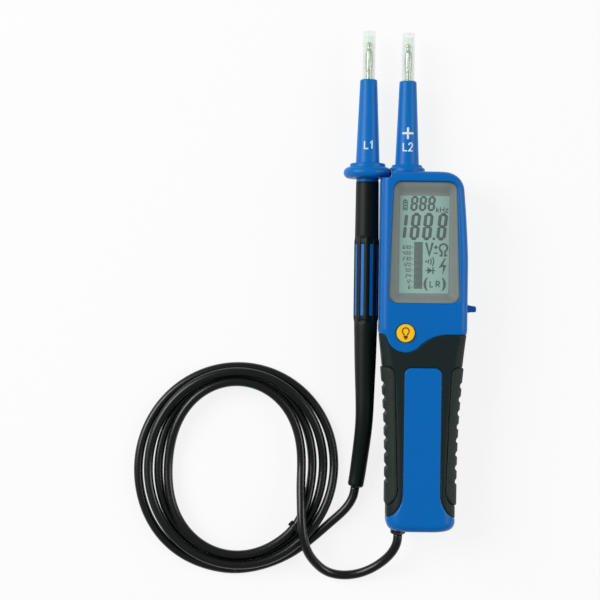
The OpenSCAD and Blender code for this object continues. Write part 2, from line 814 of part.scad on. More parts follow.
module hand_probe_resistor() {
    lead_low = core_low + 4;
    lead_high = neck_low - plug_len - pin_tail - seat_gap;
    color("#b8926a") translate([hand_x, 0, axis_z]) rotate([-90, 0, 0]) {
        translate([0, 0, lead_low]) cylinder(r = 2 * lead_r, h = lead_high - lead_low);
        translate([0, 0, slot_high - 11]) cylinder(r = core_bore_r - seat_gap, h = 2 * resistor_len);
    }
}

// Sweep of round rings along points, with ring radii rr and sides n
function unit(v) = v / norm(v);
function tangent(p, k) = unit(p[min(k + 1, len(p) - 1)] - p[max(k - 1, 0)]);
function ring(c, t, r, n) = let (s = unit(cross(t, [0, 0, 1])), u = cross(s, t))
    [for (j = [0 : n - 1]) let (a = 360 * (j + 0.5) / n) c + r * (cos(a) * s + sin(a) * u)];
// The first and last rings are square to the directions given
module tube(p, rr, n, first, last) {
    m = len(p) - 1;
    ways = [for (k = [0 : m]) k == 0 ? unit(first) : k == m ? unit(last) : tangent(p, k)];
    loft([for (k = [0 : m]) ring(p[k], ways[k], rr[k], n)]);
}
// A smooth curve through hand-chosen points, sub steps to each span
function span(a, b, c, d, t) = 0.5 * (2 * b + t * (c - a) + t * t * (2 * a - 5 * b + 4 * c - d)
    + t * t * t * (3 * b - a - 3 * c + d));
function spline(p, sub) = let (m = len(p) - 1) concat([for (k = [0 : m - 1]) for (j = [0 : sub - 1])
    span(p[max(k - 1, 0)], p[k], p[k + 1], p[min(k + 2, m)], j / sub)], [p[m]]);

// The boot bends to the left and droops to the table
boot_end = [hand_x - 3.8, handle_low - 45, boot_end_r + 0.4];
boot_way = [-0.19, -1, 0];
boot_points = [[hand_x, handle_low, axis_z], [hand_x, handle_low - 5, axis_z],
    [hand_x - 0.2, handle_low - 13, axis_z - 0.7], [hand_x - 0.9, handle_low - 22, axis_z - 2.8],
    [hand_x - 2, handle_low - 32, axis_z - 5.6], [hand_x - 3, handle_low - 40, boot_end_r + 0.7], boot_end];
module hand_probe_boot() {
    p = spline(boot_points, 2);
    n = len(p) - 1;
    radii = [for (k = [0 : n]) mix(handle_low_r, boot_end_r, k / n)];
    color("#24282b") tube(p, radii, 16, [0, -1, 0], boot_way);
}

// Cord route: the stretch from the bushing over the coil, and the stretch from the coil to the boot
bushing_out = 2.2;
cord_exit = [bushing_x, body_bottom, 0];
from_bushing = [[0, -bushing_out, axis_z], [-0.3, -5.8, axis_z], [-2.3, -10.8, axis_z - 1.4],
    [-6.7, -16.1, axis_z - 4.4], [-13.2, -20.7, axis_z - 7], [-22.4, -23.7, 2.7]];
over_coil = [[-43.8, -109, 4.2], [-49.6, -104.4, 7.3], [-53.6, -98.6, 10.5], [-55.9, -91.5, 12.4],
    [-56.8, -84, 12.3], [-57.2, -75, 10.4], [-57.4, -66, 7.5]];
main_points = concat([for (q = from_bushing) cord_exit + q], over_coil);
from_boot = [[-0.1, -0.35, 4.2], [-0.9, -4.6, 3.9], [-3.9, -10.2, 3.3]];
boot_exit = [boot_end[0], boot_end[1], 0];
probe_points = concat([for (q = from_boot) boot_exit + q],
    [[-42.1, -84.4, 3], [-51.7, -92.8, 3.2], [-63.3, -101, 2.8], [-76.3, -106.4, 2.4]]);

// The coil: quarter-turn radii and pitches from the bottom, left, top and right of the first loop
coil_x = -89.3;
coil_y = -57.7;
coil_turns = 3.75;
coil_reach = [50.4, 48.7, 49.4, 51.9];
coil_pitch = [2.4, 4.85, 2.4, 5.3];
stack_h = 4.5;
first_bulge = 1.4;
bulge_at = 0.11;
bulge_spread = 0.09;
// The tie lifts the turns off the table and draws them together
tie_angle = -45;
tie_lift = 1.1;
tie_spread = 30;
tie_r = 46;
tie_pull = 0.15;
pull_spread = 18;
function round_quarters(v, a) = (v[0] + v[1] + v[2] + v[3]) / 4 + (v[0] - v[2]) / 2 * cos(a)
    + (v[1] - v[3]) / 2 * sin(a) + (v[0] - v[1] + v[2] - v[3]) / 4 * cos(2 * a);
function wrap(a) = a - 360 * floor((a + 180) / 360);
function upper(u) = floor(min(u, coil_turns - eps) + 0.25) % 2 == 1 ? 1 : 0;
function arch(a) = sqrt(pow(cos(a), 2) + 0.06 * (1 + sin(a)));
function bell(v) = exp(-v * v);
function free_r(u) = round_quarters(coil_reach, 360 * u) - u * round_quarters(coil_pitch, 360 * u)
    + first_bulge * bell((u - bulge_at) / bulge_spread);
function coil_r(u) = mix(free_r(u), tie_r, tie_pull * bell((wrap(360 * u) - tie_angle) / pull_spread));
function lift(a) = tie_lift * bell((wrap(a) - tie_angle) / tie_spread);
function rise(u) = stack_h * upper(u) * max(arch(360 * u), u > coil_turns - 0.25 ? 0.75 : 0);
function coil_point(u) = let (a = 360 * u, r = coil_r(u))
    [coil_x - r * sin(a), coil_y - r * cos(a), cord_d / 2 + lift(a) + rise(u)];
per_turn = 24;
coil_points = [for (k = [0 : per_turn * coil_turns]) coil_point(k / per_turn)];

// Least gap of the cord to itself, on its points, away from its own neighbours
cord_points = concat(main_points, [for (k = [len(coil_points) - 1 : -1 : 0]) coil_points[k]],
    [for (k = [len(probe_points) - 1 : -1 : 0]) probe_points[k]]);
near = 8;
function gap_from(k) =
    min([for (j = [k + near : len(cord_points) - 1]) norm(cord_points[k] - cord_points[j])]);
cord_gap = min([for (k = [0 : len(cord_points) - near - 1]) gap_from(k)]) - cord_d;
function path_len(p, k = 0) = k >= len(p) - 1 ? 0 : norm(p[k + 1] - p[k]) + path_len(p, k + 1);
cord_length = path_len(cord_points);
echo(least_cord_gap_mm = cord_gap, cord_length_mm = cord_length);  // cord_coil

coil_last = len(coil_points) - 1;
coil_in = coil_points[1] - coil_points[0];
coil_out = coil_points[coil_last] - coil_points[coil_last - 1];
module cord_run(p, sides, first, last) {
    color("#1c2020") tube(p, [for (q = p) cord_d / 2], sides, first, last);
}
module cord_main_stretch() {
    cord_run(concat(main_points, [coil_points[coil_last]]), 10, [0, -1, 0], -coil_out);
}
module cord_coil() {
    cord_run(coil_points, 6, coil_in, coil_out);
}
module cord_probe_stretch() {
    cord_run(concat(probe_points, [coil_points[0]]), 10, boot_way, coil_in);
}

// The tie: a strap round the bundle where the main stretch crosses it
tie_w = 1.8;
tie_t = 0.7;
tie_in = 9.6;
tie_out = 1.4;
tie_drop = 0.7;
module tie_loop(g) {
    hull() for (x = [coil_reach[0] - tie_in, coil_reach[0] + tie_out])
        for (z = [cord_d / 2 + tie_t, cord_d / 2 + tie_t + stack_h - tie_drop])
            translate([x, z]) circle(r = cord_d / 2 - seat_gap + g, $fn = 24);
}
module cord_tie() {
    color("#15181a") translate([coil_x, coil_y, 0]) rotate(-90 - tie_angle) translate([0, tie_w / 2, 0])
        rotate([90, 0, 0]) linear_extrude(tie_w) difference() {
            tie_loop(tie_t);
            tie_loop(0);
        }
}

// The bushing is clamped in the parting plane
module cord_bushing() {
    color("#15181a") translate([bushing_x, body_bottom, axis_z]) rotate([-90, 0, 0])
        rotate_extrude() polygon([
            [0, -bushing_out], [bushing_r - bushing_edge, -bushing_out],
            [bushing_r, -bushing_out + bushing_edge], [bushing_r, -seat_gap / 2],
            [bushing_neck_r, -seat_gap / 2], [bushing_neck_r, bushing_lip_y],
            [bushing_lip_r, bushing_lip_y], [bushing_lip_r, bushing_lip_y + 1.7], [0, bushing_lip_y + 1.7]]);
}

front_shell();
rear_shell();
front_grip();
rear_grip();
left_grip_pad();
right_grip_pad();
display_lens();
display_frame();
lcd_panel();
backlight_plate();
contact_strips();
circuit_board();
controller_chip();
tact_switch();
buzzer();
input_resistors();
light_button();
batteries();
battery_springs();
battery_cover();
battery_seal();
battery_cover_screw();
housing_screws();
fixed_probe_nose();
fixed_probe_pin();
fixed_pin_contact();
fixed_tip_cap();
hand_probe_nose();
hand_probe_pin();
hand_tip_cap();
hand_probe_core();
hand_probe_sleeve();
hand_probe_boot();
hand_probe_resistor();
cord_bushing();
cord_main_stretch();
cord_coil();
cord_probe_stretch();
cord_tie();
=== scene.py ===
# %% [markdown]
# # A two-pole voltage tester
# The tester lies on its back on a white table: a blue main unit with a display and a black soft grip,
# a second hand probe docked at its left, and a coiled cable between them. The solids come from CAD as
# a fixed frame. This lesson dresses them: smooth moulded skins, rubber pads, a display and a real cable.

# %% Load the frame
import json

import bpy
import numpy as np
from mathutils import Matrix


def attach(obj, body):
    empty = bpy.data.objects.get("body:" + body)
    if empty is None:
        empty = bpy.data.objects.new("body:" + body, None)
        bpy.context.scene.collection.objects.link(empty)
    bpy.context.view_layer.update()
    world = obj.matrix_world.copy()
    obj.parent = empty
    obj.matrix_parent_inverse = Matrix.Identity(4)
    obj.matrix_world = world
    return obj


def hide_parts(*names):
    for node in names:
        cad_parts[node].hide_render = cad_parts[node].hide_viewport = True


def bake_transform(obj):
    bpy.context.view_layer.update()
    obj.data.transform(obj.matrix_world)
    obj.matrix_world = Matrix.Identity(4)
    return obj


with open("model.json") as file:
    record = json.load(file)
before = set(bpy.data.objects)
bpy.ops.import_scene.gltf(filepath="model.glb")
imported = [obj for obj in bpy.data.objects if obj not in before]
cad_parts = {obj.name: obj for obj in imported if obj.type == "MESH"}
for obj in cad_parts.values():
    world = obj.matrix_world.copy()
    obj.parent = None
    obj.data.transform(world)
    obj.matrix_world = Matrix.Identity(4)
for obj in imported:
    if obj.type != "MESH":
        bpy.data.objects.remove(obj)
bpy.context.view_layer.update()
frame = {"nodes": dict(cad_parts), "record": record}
nodes = frame["nodes"]
MM = 0.001

# %% [markdown]
# ## Camera
# The photograph looks straight down from about 0.83 m, a little above the middle of the unit, and the
# tester lies turned by less than a degree. A long lens at that height gives the same slight perspective.

# %% Camera over the table
CAMERA_AT = np.array([-59.0, 23.4, 830.0]) * MM
CAMERA_TURN = 0.0126
TABLE_SCALE = 0.4903 * MM
PHOTO_PX = 600

lens_camera = bpy.data.cameras.new("photo_camera")
lens_camera.sensor_width = 36.0
lens_camera.lens = lens_camera.sensor_width * CAMERA_AT[2] / (TABLE_SCALE * PHOTO_PX)
camera = bpy.data.objects.new("photo_camera", lens_camera)
camera.location = CAMERA_AT
camera.rotation_euler = (0, 0, CAMERA_TURN)
bpy.context.scene.collection.objects.link(camera)
bpy.context.scene.camera = camera
print(f"lens {lens_camera.lens:.1f} mm")

# %% [markdown]
# ## From arrays to meshes
# Every new piece is a grid of points worked out with numpy. A few helpers turn such a grid into a mesh:
# they join each point to its neighbours, close the grid round on itself, or put a flat face over each end.

# %% Grid to mesh
def link_mesh(name, points, faces):
    """A smooth-shaded mesh object from points in metres and faces as lists of point numbers."""
    mesh = bpy.data.meshes.new(name)
    mesh.from_pydata(points.tolist(), [], faces.tolist() if hasattr(faces, "tolist") else faces)
    mesh.polygons.foreach_set("use_smooth", np.ones(len(mesh.polygons), bool))
    mesh.update()
    piece = bpy.data.objects.new(name, mesh)
    bpy.context.scene.collection.objects.link(piece)
    return piece


def grid_faces(rows, columns, round_rows=False, round_columns=False, start=0):
    """Quads between neighbouring points of a rows x columns grid, numbered row by row from start. A face
    looks to the side where the rows' direction crossed with the columns' points."""
    i = np.arange(rows if round_rows else rows - 1)[:, None]
    j = np.arange(columns if round_columns else columns - 1)[None, :]
    at = lambda a, b: start + (a % rows) * columns + b % columns
    corners = np.broadcast_arrays(at(i, j), at(i + 1, j), at(i + 1, j + 1), at(i, j + 1))
    return np.stack(corners, -1).reshape(-1, 4)


def capped_tube(name, rings):
    """A closed mesh from rings (m, n, 3): quads along the side, and a flat n-sided face over each end."""
    m, n = rings.shape[:2]
    side = grid_faces(m, n, round_columns=True).tolist()
    ends = [list(range(n)), list(range((m - 1) * n, m * n))[::-1]]
    piece = link_mesh(name, rings.reshape(-1, 3), side + ends)
    smooth = np.ones(len(side) + 2, bool)
    smooth[-2:] = False
    piece.data.polygons.foreach_set("use_smooth", smooth)
    return piece


def add_wall(piece, wall):
    """Thickens a skin inwards by a wall in mm."""
    thick = piece.modifiers.new("wall", "SOLIDIFY")
    thick.thickness, thick.offset = wall * MM, -1


def super_ring(half_a, half_b, n=40, power=4.0):
    """A rounded rectangle: cosine and sine raised to 2 / power, signs kept, times the half sizes."""
    q = np.linspace(0, 2 * np.pi, n, endpoint=False)
    bend = lambda v: np.sign(v) * np.abs(v) ** (2 / power)
    return half_a[:, None] * bend(np.cos(q)), half_b[:, None] * bend(np.sin(q))

# %% [markdown]
# ## The cable
# The cable leaves a bushing at the bottom of the unit, runs to the left, climbs over the coil in a long low
# hump, makes almost four turns in two layers and ends in the hand probe's boot. The photograph shows all of
# it, so its length is the length of this route. The turns follow a formula, the loose stretches go through
# a few points, and one cubic spline joins them so that no bend has a corner.

# %% The route
CORD_D = 4.4
BUSHING = (-10.3, -89, 11.6)
MAIN_STRETCH = np.array([
    BUSHING, (-10.6, -92.6, 11.6), (-12.6, -97.6, 10.2), (-17, -102.9, 7.2), (-23.5, -107.5, 4.6),
    (-32.7, -110.5, 2.7), (-43.8, -109, 4.2), (-49.6, -104.4, 7.3), (-53.6, -98.6, 10.5),
    (-55.9, -91.5, 12.4), (-56.8, -84, 12.3), (-57.2, -75, 10.4), (-57.4, -66, 7.5)])
PROBE_STRETCH = np.array([
    (-76.3, -106.4, 2.4), (-63.3, -101, 2.8), (-51.7, -92.8, 3.2), (-42.1, -84.4, 3), (-34.8, -77.2, 3.3),
    (-31.8, -71.6, 3.9), (-31, -67.35, 4.2)])
TABLE_GAP = 0.05
ROUTE_STEP, POINTS_PER_TURN = 1.1, 24
COIL_AT = (-89.3, -57.7)
COIL_TURNS = 3.75
COIL_REACH = (50.4, 48.7, 49.4, 51.9)
COIL_PITCH = (2.4, 4.85, 2.4, 5.3)
LAYER, CROSSING_RISE, LAST_QUARTER_RISE = 4.5, 0.06, 0.75
BULGE, BULGE_AT, BULGE_SPREAD = 1.4, 0.11, 0.09
TIE_ANGLE, TIE_LIFT, TIE_SPREAD = -45.0, 1.1, 30.0
TIE_R, TIE_PULL, PULL_SPREAD = 46.0, 0.15, 18.0


def round_quarters(values, a):
    """A radius with four values at the bottom, left, top and right: mean plus two waves of the angle."""
    bottom, left, top, right = values
    return (np.mean(values) + (bottom - top) / 2 * np.cos(a) + (left - right) / 2 * np.sin(a)
            + (bottom - left + top - right) / 4 * np.cos(2 * a))


def bell(v):
    """A bell curve: one at zero, falling as exp of minus the square."""
    return np.exp(-v * v)


def coil_points(u):
    """Turn number u to a point: the radius shrinks by the pitch each turn, the first turn bulges a little,
    odd turns lie on even ones, and the tie lifts the bundle and draws it together."""
    a = 2 * np.pi * u
    from_tie = (360 * u - TIE_ANGLE + 180) % 360 - 180
    r = round_quarters(COIL_REACH, a) - u * round_quarters(COIL_PITCH, a)
    r += BULGE * bell((u - BULGE_AT) / BULGE_SPREAD)
    r += TIE_PULL * bell(from_tie / PULL_SPREAD) * (TIE_R - r)
    rise = np.sqrt(np.cos(a) ** 2 + CROSSING_RISE * (1 + np.sin(a)))
    rise = np.where(u > COIL_TURNS - 0.25, np.maximum(rise, LAST_QUARTER_RISE), rise)
    upper = np.floor(np.minimum(u, COIL_TURNS - 0.001) + 0.25) % 2
    z = CORD_D / 2 + TABLE_GAP + TIE_LIFT * bell(from_tie / TIE_SPREAD) + LAYER * upper * rise
    return np.stack([COIL_AT[0] - r * np.sin(a), COIL_AT[1] - r * np.cos(a), z], -1)


def cubic_route(points, step):
    """A natural cubic spline through points, by chord length, sampled about every step. The second slopes
    at the points solve one tridiagonal system; each span is then a cubic blend of its two ends."""
    h = np.linalg.norm(np.diff(points, axis=0), axis=1)
    n = len(points)
    system, right = np.eye(n), np.zeros_like(points)
    k = np.arange(1, n - 1)
    system[k, k - 1], system[k, k], system[k, k + 1] = h[:-1], 2 * (h[:-1] + h[1:]), h[1:]
    slope = np.diff(points, axis=0) / h[:, None]
    right[1:-1] = 6 * np.diff(slope, axis=0)
    bend = np.linalg.solve(system, right)
    knots = np.concatenate([[0], np.cumsum(h)])
    s = np.linspace(0, knots[-1], int(knots[-1] / step))
    i = np.clip(np.searchsorted(knots, s, "right") - 1, 0, n - 2)
    a, b, d = (knots[i + 1] - s)[:, None], (s - knots[i])[:, None], h[i][:, None]
    return ((bend[i] * a ** 3 + bend[i + 1] * b ** 3) / (6 * d) + (points[i] / d - bend[i] * d / 6) * a
            + (points[i + 1] / d - bend[i + 1] * d / 6) * b), s, knots


turns = coil_points(np.arange(COIL_TURNS, -0.001, -1 / POINTS_PER_TURN))
through = np.concatenate([MAIN_STRETCH, turns, PROBE_STRETCH])
route, along, knots = cubic_route(through, ROUTE_STEP)
coil_end = np.searchsorted(along, knots[len(MAIN_STRETCH) + len(turns) - 1])
cord_length = np.linalg.norm(np.diff(route, axis=0), axis=1).sum() * MM
print(f"cable {cord_length:.3f} m, {len(route)} rings")

# %% [markdown]
# The tube is a circle carried along the route. Its stretch to the hand probe is a piece of its own, apart
# from the coil, which stays on the table. Both end in one ring.

# %% The two lengths of cable
CORD_SIDES = 20


def sweep(path, radius, sides=CORD_SIDES):
    """Rings square to the path: centre + radius (cos s + sin u), with s level and u square to both."""
    way = np.gradient(path, axis=0)
    way /= np.linalg.norm(way, axis=1, keepdims=True)
    level = np.cross(way, (0, 0, 1))
    level /= np.linalg.norm(level, axis=1, keepdims=True)
    up = np.cross(level, way)
    q = np.linspace(0, 2 * np.pi, sides, endpoint=False)
    circle = np.cos(q)[None, :, None] * level[:, None] + np.sin(q)[None, :, None] * up[:, None]
    return path[:, None] + np.broadcast_to(radius, len(path))[:, None, None] * circle


cord_rings = sweep(route, CORD_D / 2) * MM
coiled_cord = capped_tube("coiled_cord", cord_rings[:coil_end + 1])
probe_cord = capped_tube("probe_cord", cord_rings[coil_end:])
print("rings in the coiled cord and the probe cord:", coil_end + 1, len(route) - coil_end)

# %% [markdown]
# A strap holds the turns together where the cable crosses them. For every direction, the turn that reaches
# farthest that way carries the strap, so it hugs the bundle and runs straight from turn to turn. On its
# inner side it swells into the lock.

# %% Strap
STRAP_W, STRAP_T, STRAP_GAP = 2.2, 0.36, 0.01
LOCK_W, LOCK_T, LOCK_AT, LOCK_SPREAD = 0.8, 1.3, np.radians(150), 0.22
UP = np.array([0.0, 0.0, 1.0])
tie_way = np.radians(TIE_ANGLE)
outward = np.array([-np.sin(tie_way), -np.cos(tie_way), 0.0])
around = np.linspace(0, 2 * np.pi, 160, endpoint=False)
facing = np.cos(around)[:, None] * outward + np.sin(around)[:, None] * UP
held = coil_points(np.arange(1, COIL_TURNS) + TIE_ANGLE / 360)
carrier = held[np.argmax(facing @ held.T, axis=1)]
swell = bell((around - LOCK_AT) / LOCK_SPREAD)
thick = STRAP_T + LOCK_T * swell
depth, side = super_ring(thick / 2, (STRAP_W + LOCK_W * swell) / 2, 24)
reach = CORD_D / 2 + STRAP_GAP + thick[:, None] / 2 + depth
across = np.cross(outward, UP)
strap_rings = carrier[:, None] + reach[..., None] * facing[:, None] + side[..., None] * across
strap_faces = grid_faces(*strap_rings.shape[:2], round_rows=True, round_columns=True)
strap = link_mesh("cord_strap", strap_rings.reshape(-1, 3) * MM, strap_faces)
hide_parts("cord_tie")
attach(strap, "main_unit")
print("strap round", len(held), "turns")

# %% [markdown]
# Each length of cable takes the place of its CAD solids, which are hidden. The coil rides the main unit.

# %% Hide the cable's CAD solids
for piece, path, solids, lay, on_it in (
        (coiled_cord, route[:coil_end + 1], ("cord_main_stretch", "cord_coil"), "coiled", [strap]),
        (probe_cord, route[coil_end:], ("cord_probe_stretch",), "loose", [])):
    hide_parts(*solids)
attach(coiled_cord, "main_unit")
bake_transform(probe_cord)

# %% [markdown]
# ## The housing's form
# The housing is one moulded form: a wide head, a waist and a slimmer grip, with rounded edges all round. A
# box with bevels could not follow the sweep of its sides. Here each cross-section is a rounded rectangle
# whose width, depth and edge radius change smoothly along Y, so that every skin, grip and pad can be cut
# from one function.

# %% Section of the housing
BODY_BOTTOM, BODY_TOP = -86.8, 85.4
HEAD_W, GRIP_W = 20.9, 16.5
HEAD_DEPTH, GRIP_DEPTH = 27.0, 25.0
HEAD_START, GRIP_START = 10.0, -62.0
HEAD_LEAN, LEAN_START = 3.0, 40.0
HEAD_EDGE, GRIP_EDGE = 4.0, 7.5
TOP_CORNER, LOW_CORNER, END_EDGE = 8.6, 5.0, 3.6
PART_Z = 11.6
HAND_X, FIXED_X = -27.1, -8.1


def mix(a, b, t):
    """From a to b as t goes from 0 to 1."""
    return a + (b - a) * t


def ease(t):
    """From 0 to 1 with a level start and a level end."""
    t = np.clip(t, 0, 1)
    return t * t * (3 - 2 * t)


def round_in(d, r):
    """How far a corner of radius r draws in at distance d past its start: r minus the circle's height."""
    d = np.clip(d, 0, r)
    return r - np.sqrt(r * r - d * d)


def section_sizes(y, out):
    """Right width, left width, top, back and edge radius of the section at y, grown outwards by out. The
    head's right side leans in towards its top."""
    t = np.clip((y - GRIP_START) / (HEAD_START - GRIP_START), 0, 1) ** 2
    low = lambda r: round_in(BODY_BOTTOM + r - y, r)
    high = lambda r: round_in(y - (BODY_TOP - r), r)
    side = mix(GRIP_W, HEAD_W, t) + out
    ends = low(END_EDGE) + high(END_EDGE)
    lean = HEAD_LEAN * np.clip((y - LEAN_START) / (BODY_TOP - LEAN_START), 0, 1) ** 1.5
    right = side - lean - low(LOW_CORNER) - high(TOP_CORNER)
    left = side - low(LOW_CORNER) - high(LOW_CORNER)
    edge = mix(GRIP_EDGE, HEAD_EDGE, t) + out
    return right, left, mix(GRIP_DEPTH, HEAD_DEPTH, t) + out - ends, ends - out, edge


def form_point(y, v, out=0.0):
    """The form's point at y and round parameter v, in mm. v counts the section's segments: 0-1 half the
    back, 1-2 an arc, 2-3 the right flank, 3-4 an arc, 4-5 the front, 5-6 an arc, 6-7 the left flank, 7-8 an
    arc, 8-9 the other half of the back."""
    right, left, top, back, r = section_sizes(y, out)
    k = np.clip(np.floor(v), 0, 8)
    f = v - k
    arc = (f + (k - 1) / 2 - 1) * np.pi / 2
    c, s = r * np.cos(arc), r * np.sin(arc)
    segment = [k == n for n in range(8)]
    x = np.select(segment, [f * (right - r), right - r + c, right + 0 * f, right - r + c,
                            mix(right - r, r - left, f), r - left + c, -left + 0 * f, r - left + c],
                  (1 - f) * (r - left))
    z = np.select(segment, [back + 0 * f, back + r + s, mix(back + r, top - r, f), top - r + s,
                            top + 0 * f, top - r + s, mix(top - r, back + r, f), back + r + s],
                  back + 0 * f)
    return np.stack([x, y + 0 * x, z], -1)


def part_share(y):
    """The share of a flank that lies below the parting plane."""
    _, _, top, back, r = section_sizes(y, 0.0)
    return np.clip((PART_Z - back - r) / np.maximum(top - back - 2 * r, 0.5), 0.02, 0.98)


probe = form_point(np.array([0.0, 40.0]), np.array([4.5, 2.5]))
print(f"front of the waist at z {probe[0, 2]:.2f}, head's right side at x {probe[1, 0]:.2f}")

# %% [markdown]
# ## Outlines as distance fields
# The black overmould, the window, the button hole and the pads all have curved outlines. Instead of drawing
# each border as a polygon, each is a distance field: negative inside, positive outside, zero on the border.
# Fields combine by simple rules: the lesser of two is a union, the greater an intersection.

# %% Field builders
def disc(x, y, at, r):
    """Distance to a circle."""
    return np.hypot(x - at[0], y - at[1]) - r


def polygon_field(x, y, corners):
    """Distance to a convex polygon, corners anticlockwise: to the nearest edge, with a minus inside."""
    best, sign = np.full(np.shape(x), np.inf), np.full(np.shape(x), -np.inf)
    for (ax, ay), (bx, by) in zip(corners, corners[1:] + corners[:1]):
        ex, ey = bx - ax, by - ay
        t = np.clip(((x - ax) * ex + (y - ay) * ey) / (ex * ex + ey * ey), 0, 1)
        best = np.minimum(best, np.hypot(x - ax - t * ex, y - ay - t * ey))
        sign = np.maximum(sign, ((x - ax) * ey - (y - ay) * ex) / np.hypot(ex, ey))
    return np.where(sign > 0, best, -best)


def inside_of(*fields):
    """Intersection."""
    return np.maximum.reduce(fields)


def any_of(*fields):
    """Union."""
    return np.minimum.reduce(fields)

# %% Outlines of this housing
GRIP_TOP, TONGUE_R, SWEEP_R, FILLET_R = 7.8, 9.2, 20.0, 2.5
PANEL_W, PANEL_TOP, PANEL_R = 8.8, -8.4, 3.2
REAR_PANEL_W, FAR = 13.5, 200
FLARE_START, FLARE_R = -68.5, 12.5
flare_depth = np.sqrt(FLARE_R ** 2 - (PANEL_W + FLARE_R - GRIP_W) ** 2)
REAR_FLARE_R = (flare_depth ** 2 / (GRIP_W - REAR_PANEL_W) + GRIP_W - REAR_PANEL_W) / 2
BUTTON_AT, BUTTON_R, BUTTON_GAP = (-8.7, 8.3), 4.3, 0.14
WINDOW_R = 4.2
WINDOW_CORE = [(-12.7, 26.8), (12.7, 26.8), (10.9, 76.1), (-10.9, 76.1)]
SEAT_AT, SEAT_R = (-18.2, 85.2), 3.0
COVER_W, COVER_LOW, COVER_HIGH, COVER_R = 25.0, -70.0, -10.5, 3.0
SCREW_SPOTS = [(-15.4, 13.8), (15.4, 13.8), (-9.5, -75.2), (9.5, -75.2)]


def tongue_fillet(x, y, r, side):
    """The blue corner between the tongue's circle and the top edge, hollowed by a circle of radius r."""
    cx = BUTTON_AT[0] + side * np.sqrt((TONGUE_R + r) ** 2 - (BUTTON_AT[1] - GRIP_TOP + r) ** 2)
    corners = [BUTTON_AT, (cx, GRIP_TOP - r), (cx, GRIP_TOP + 1)][::int(side)]
    return inside_of(polygon_field(x, y, corners), -disc(x, y, (cx, GRIP_TOP - r), r))


def black_zone(x, y, half_w, flare_r, tongue):
    """The overmould: everything above the flares and below the top edge, less the panel and the button's
    tongue. The rear's flares have the radius with which they meet the front's on the flanks."""
    flares = [disc(x, y, (s * (half_w + flare_r), FLARE_START), flare_r) for s in (-1, 1)]
    arms = any_of(FLARE_START - y, *flares)
    w, top = half_w - PANEL_R, PANEL_TOP - PANEL_R
    panel = polygon_field(x, y, [(-w, -FAR), (w, -FAR), (w, top), (-w, top)]) - PANEL_R
    blue = GRIP_TOP - y
    if tongue:
        fillets = tongue_fillet(x, y, SWEEP_R, 1), tongue_fillet(x, y, FILLET_R, -1)
        blue = any_of(blue, disc(x, y, BUTTON_AT, TONGUE_R), *fillets)
    return inside_of(arms, -panel, -blue)


def window_field(x, y):
    """The window: a trapezium with its corners rounded."""
    return polygon_field(x, y, WINDOW_CORE) - WINDOW_R


def seat_field(x, y):
    """The notch in the top left corner that the hand probe's guard drops into."""
    box = inside_of(x - SEAT_AT[0], SEAT_AT[1] - SEAT_R - y)
    return any_of(disc(x, y, SEAT_AT, SEAT_R), box)


def cover_field(x, y):
    """The battery opening: a rounded rectangle."""
    w, low, high = COVER_W / 2 - COVER_R, COVER_LOW + COVER_R, COVER_HIGH - COVER_R
    return polygon_field(x, y, [(-w, low), (w, low), (w, high), (-w, high)]) - COVER_R


PAD_TOP, PAD_LOW, PAD_BACK, PAD_PROUD = -8.0, -74.8, 3.5, 0.7
PAD_IN_TOP, PAD_IN_LOW, PAD_TOP_R, PAD_LOW_R = 13.5, 11.6, 3.5, 8.0


def pad_field(x, y, side):
    """A pad's outline seen from the front, open to the side: two discs joined by their common tangent. n is
    square to that tangent, and a point is in a corner when it lies between n and the straight end."""
    x = x * side
    upper = np.array([PAD_IN_TOP + PAD_TOP_R, PAD_TOP - PAD_TOP_R])
    lower = np.array([PAD_IN_LOW + PAD_LOW_R, PAD_LOW + PAD_LOW_R])
    way = upper - lower
    span = np.hypot(*way)
    way, lean = way / span, (PAD_LOW_R - PAD_TOP_R) / span
    n = way * lean + np.array([-way[1], way[0]]) * np.sqrt(1 - lean ** 2)
    edge = (x - lower[0]) * n[0] + (y - lower[1]) * n[1] - PAD_LOW_R
    above = (x <= upper[0]) & ((x - upper[0]) * n[1] - (y - upper[1]) * n[0] >= 0)
    below = (x <= lower[0]) & (n[0] * (y - lower[1]) - n[1] * (x - lower[0]) >= 0)
    straight = inside_of(edge, y - PAD_TOP, PAD_LOW - y)
    corners = [disc(x, y, upper, PAD_TOP_R), disc(x, y, lower, PAD_LOW_R)]
    return np.select([above, below], corners, straight)


print("fields ready")

# %% [markdown]
# ## Skins cut along their outlines
# A skin is a dense grid on the form. To cut it cleanly along a curved border, grid points that lie within
# half a step of the border are slid along the surface until they lie on it, and the faces outside are
# dropped. The border is then as smooth as the field, with no ragged squares, and no boolean has to be run.

# %% Snap a grid to borders and build the skin
EDGE_TOL = 0.03


def snapped(surface, rows, columns, fields):
    """Slides grid points onto the zero lines of fields. surface(i, j) gives points at fractional grid
    numbers; a step of distance over slope, repeated, brings a near point to the line."""
    i, j = np.meshgrid(np.arange(rows, dtype=float), np.arange(columns, dtype=float), indexing="ij")
    for field in fields:
        d = field(*np.moveaxis(surface(i, j), -1, 0))
        gi, gj = np.gradient(d)
        size = np.maximum(gi * gi + gj * gj, 1e-9)
        near = np.maximum(np.abs(d * gi), np.abs(d * gj)) / size < 0.5
        for _ in range(4):
            i = np.where(near, np.clip(i - d * gi / size, 0, rows - 1), i)
            j = np.where(near, np.clip(j - d * gj / size, 0, columns - 1), j)
            d = field(*np.moveaxis(surface(i, j), -1, 0))
    return i, j


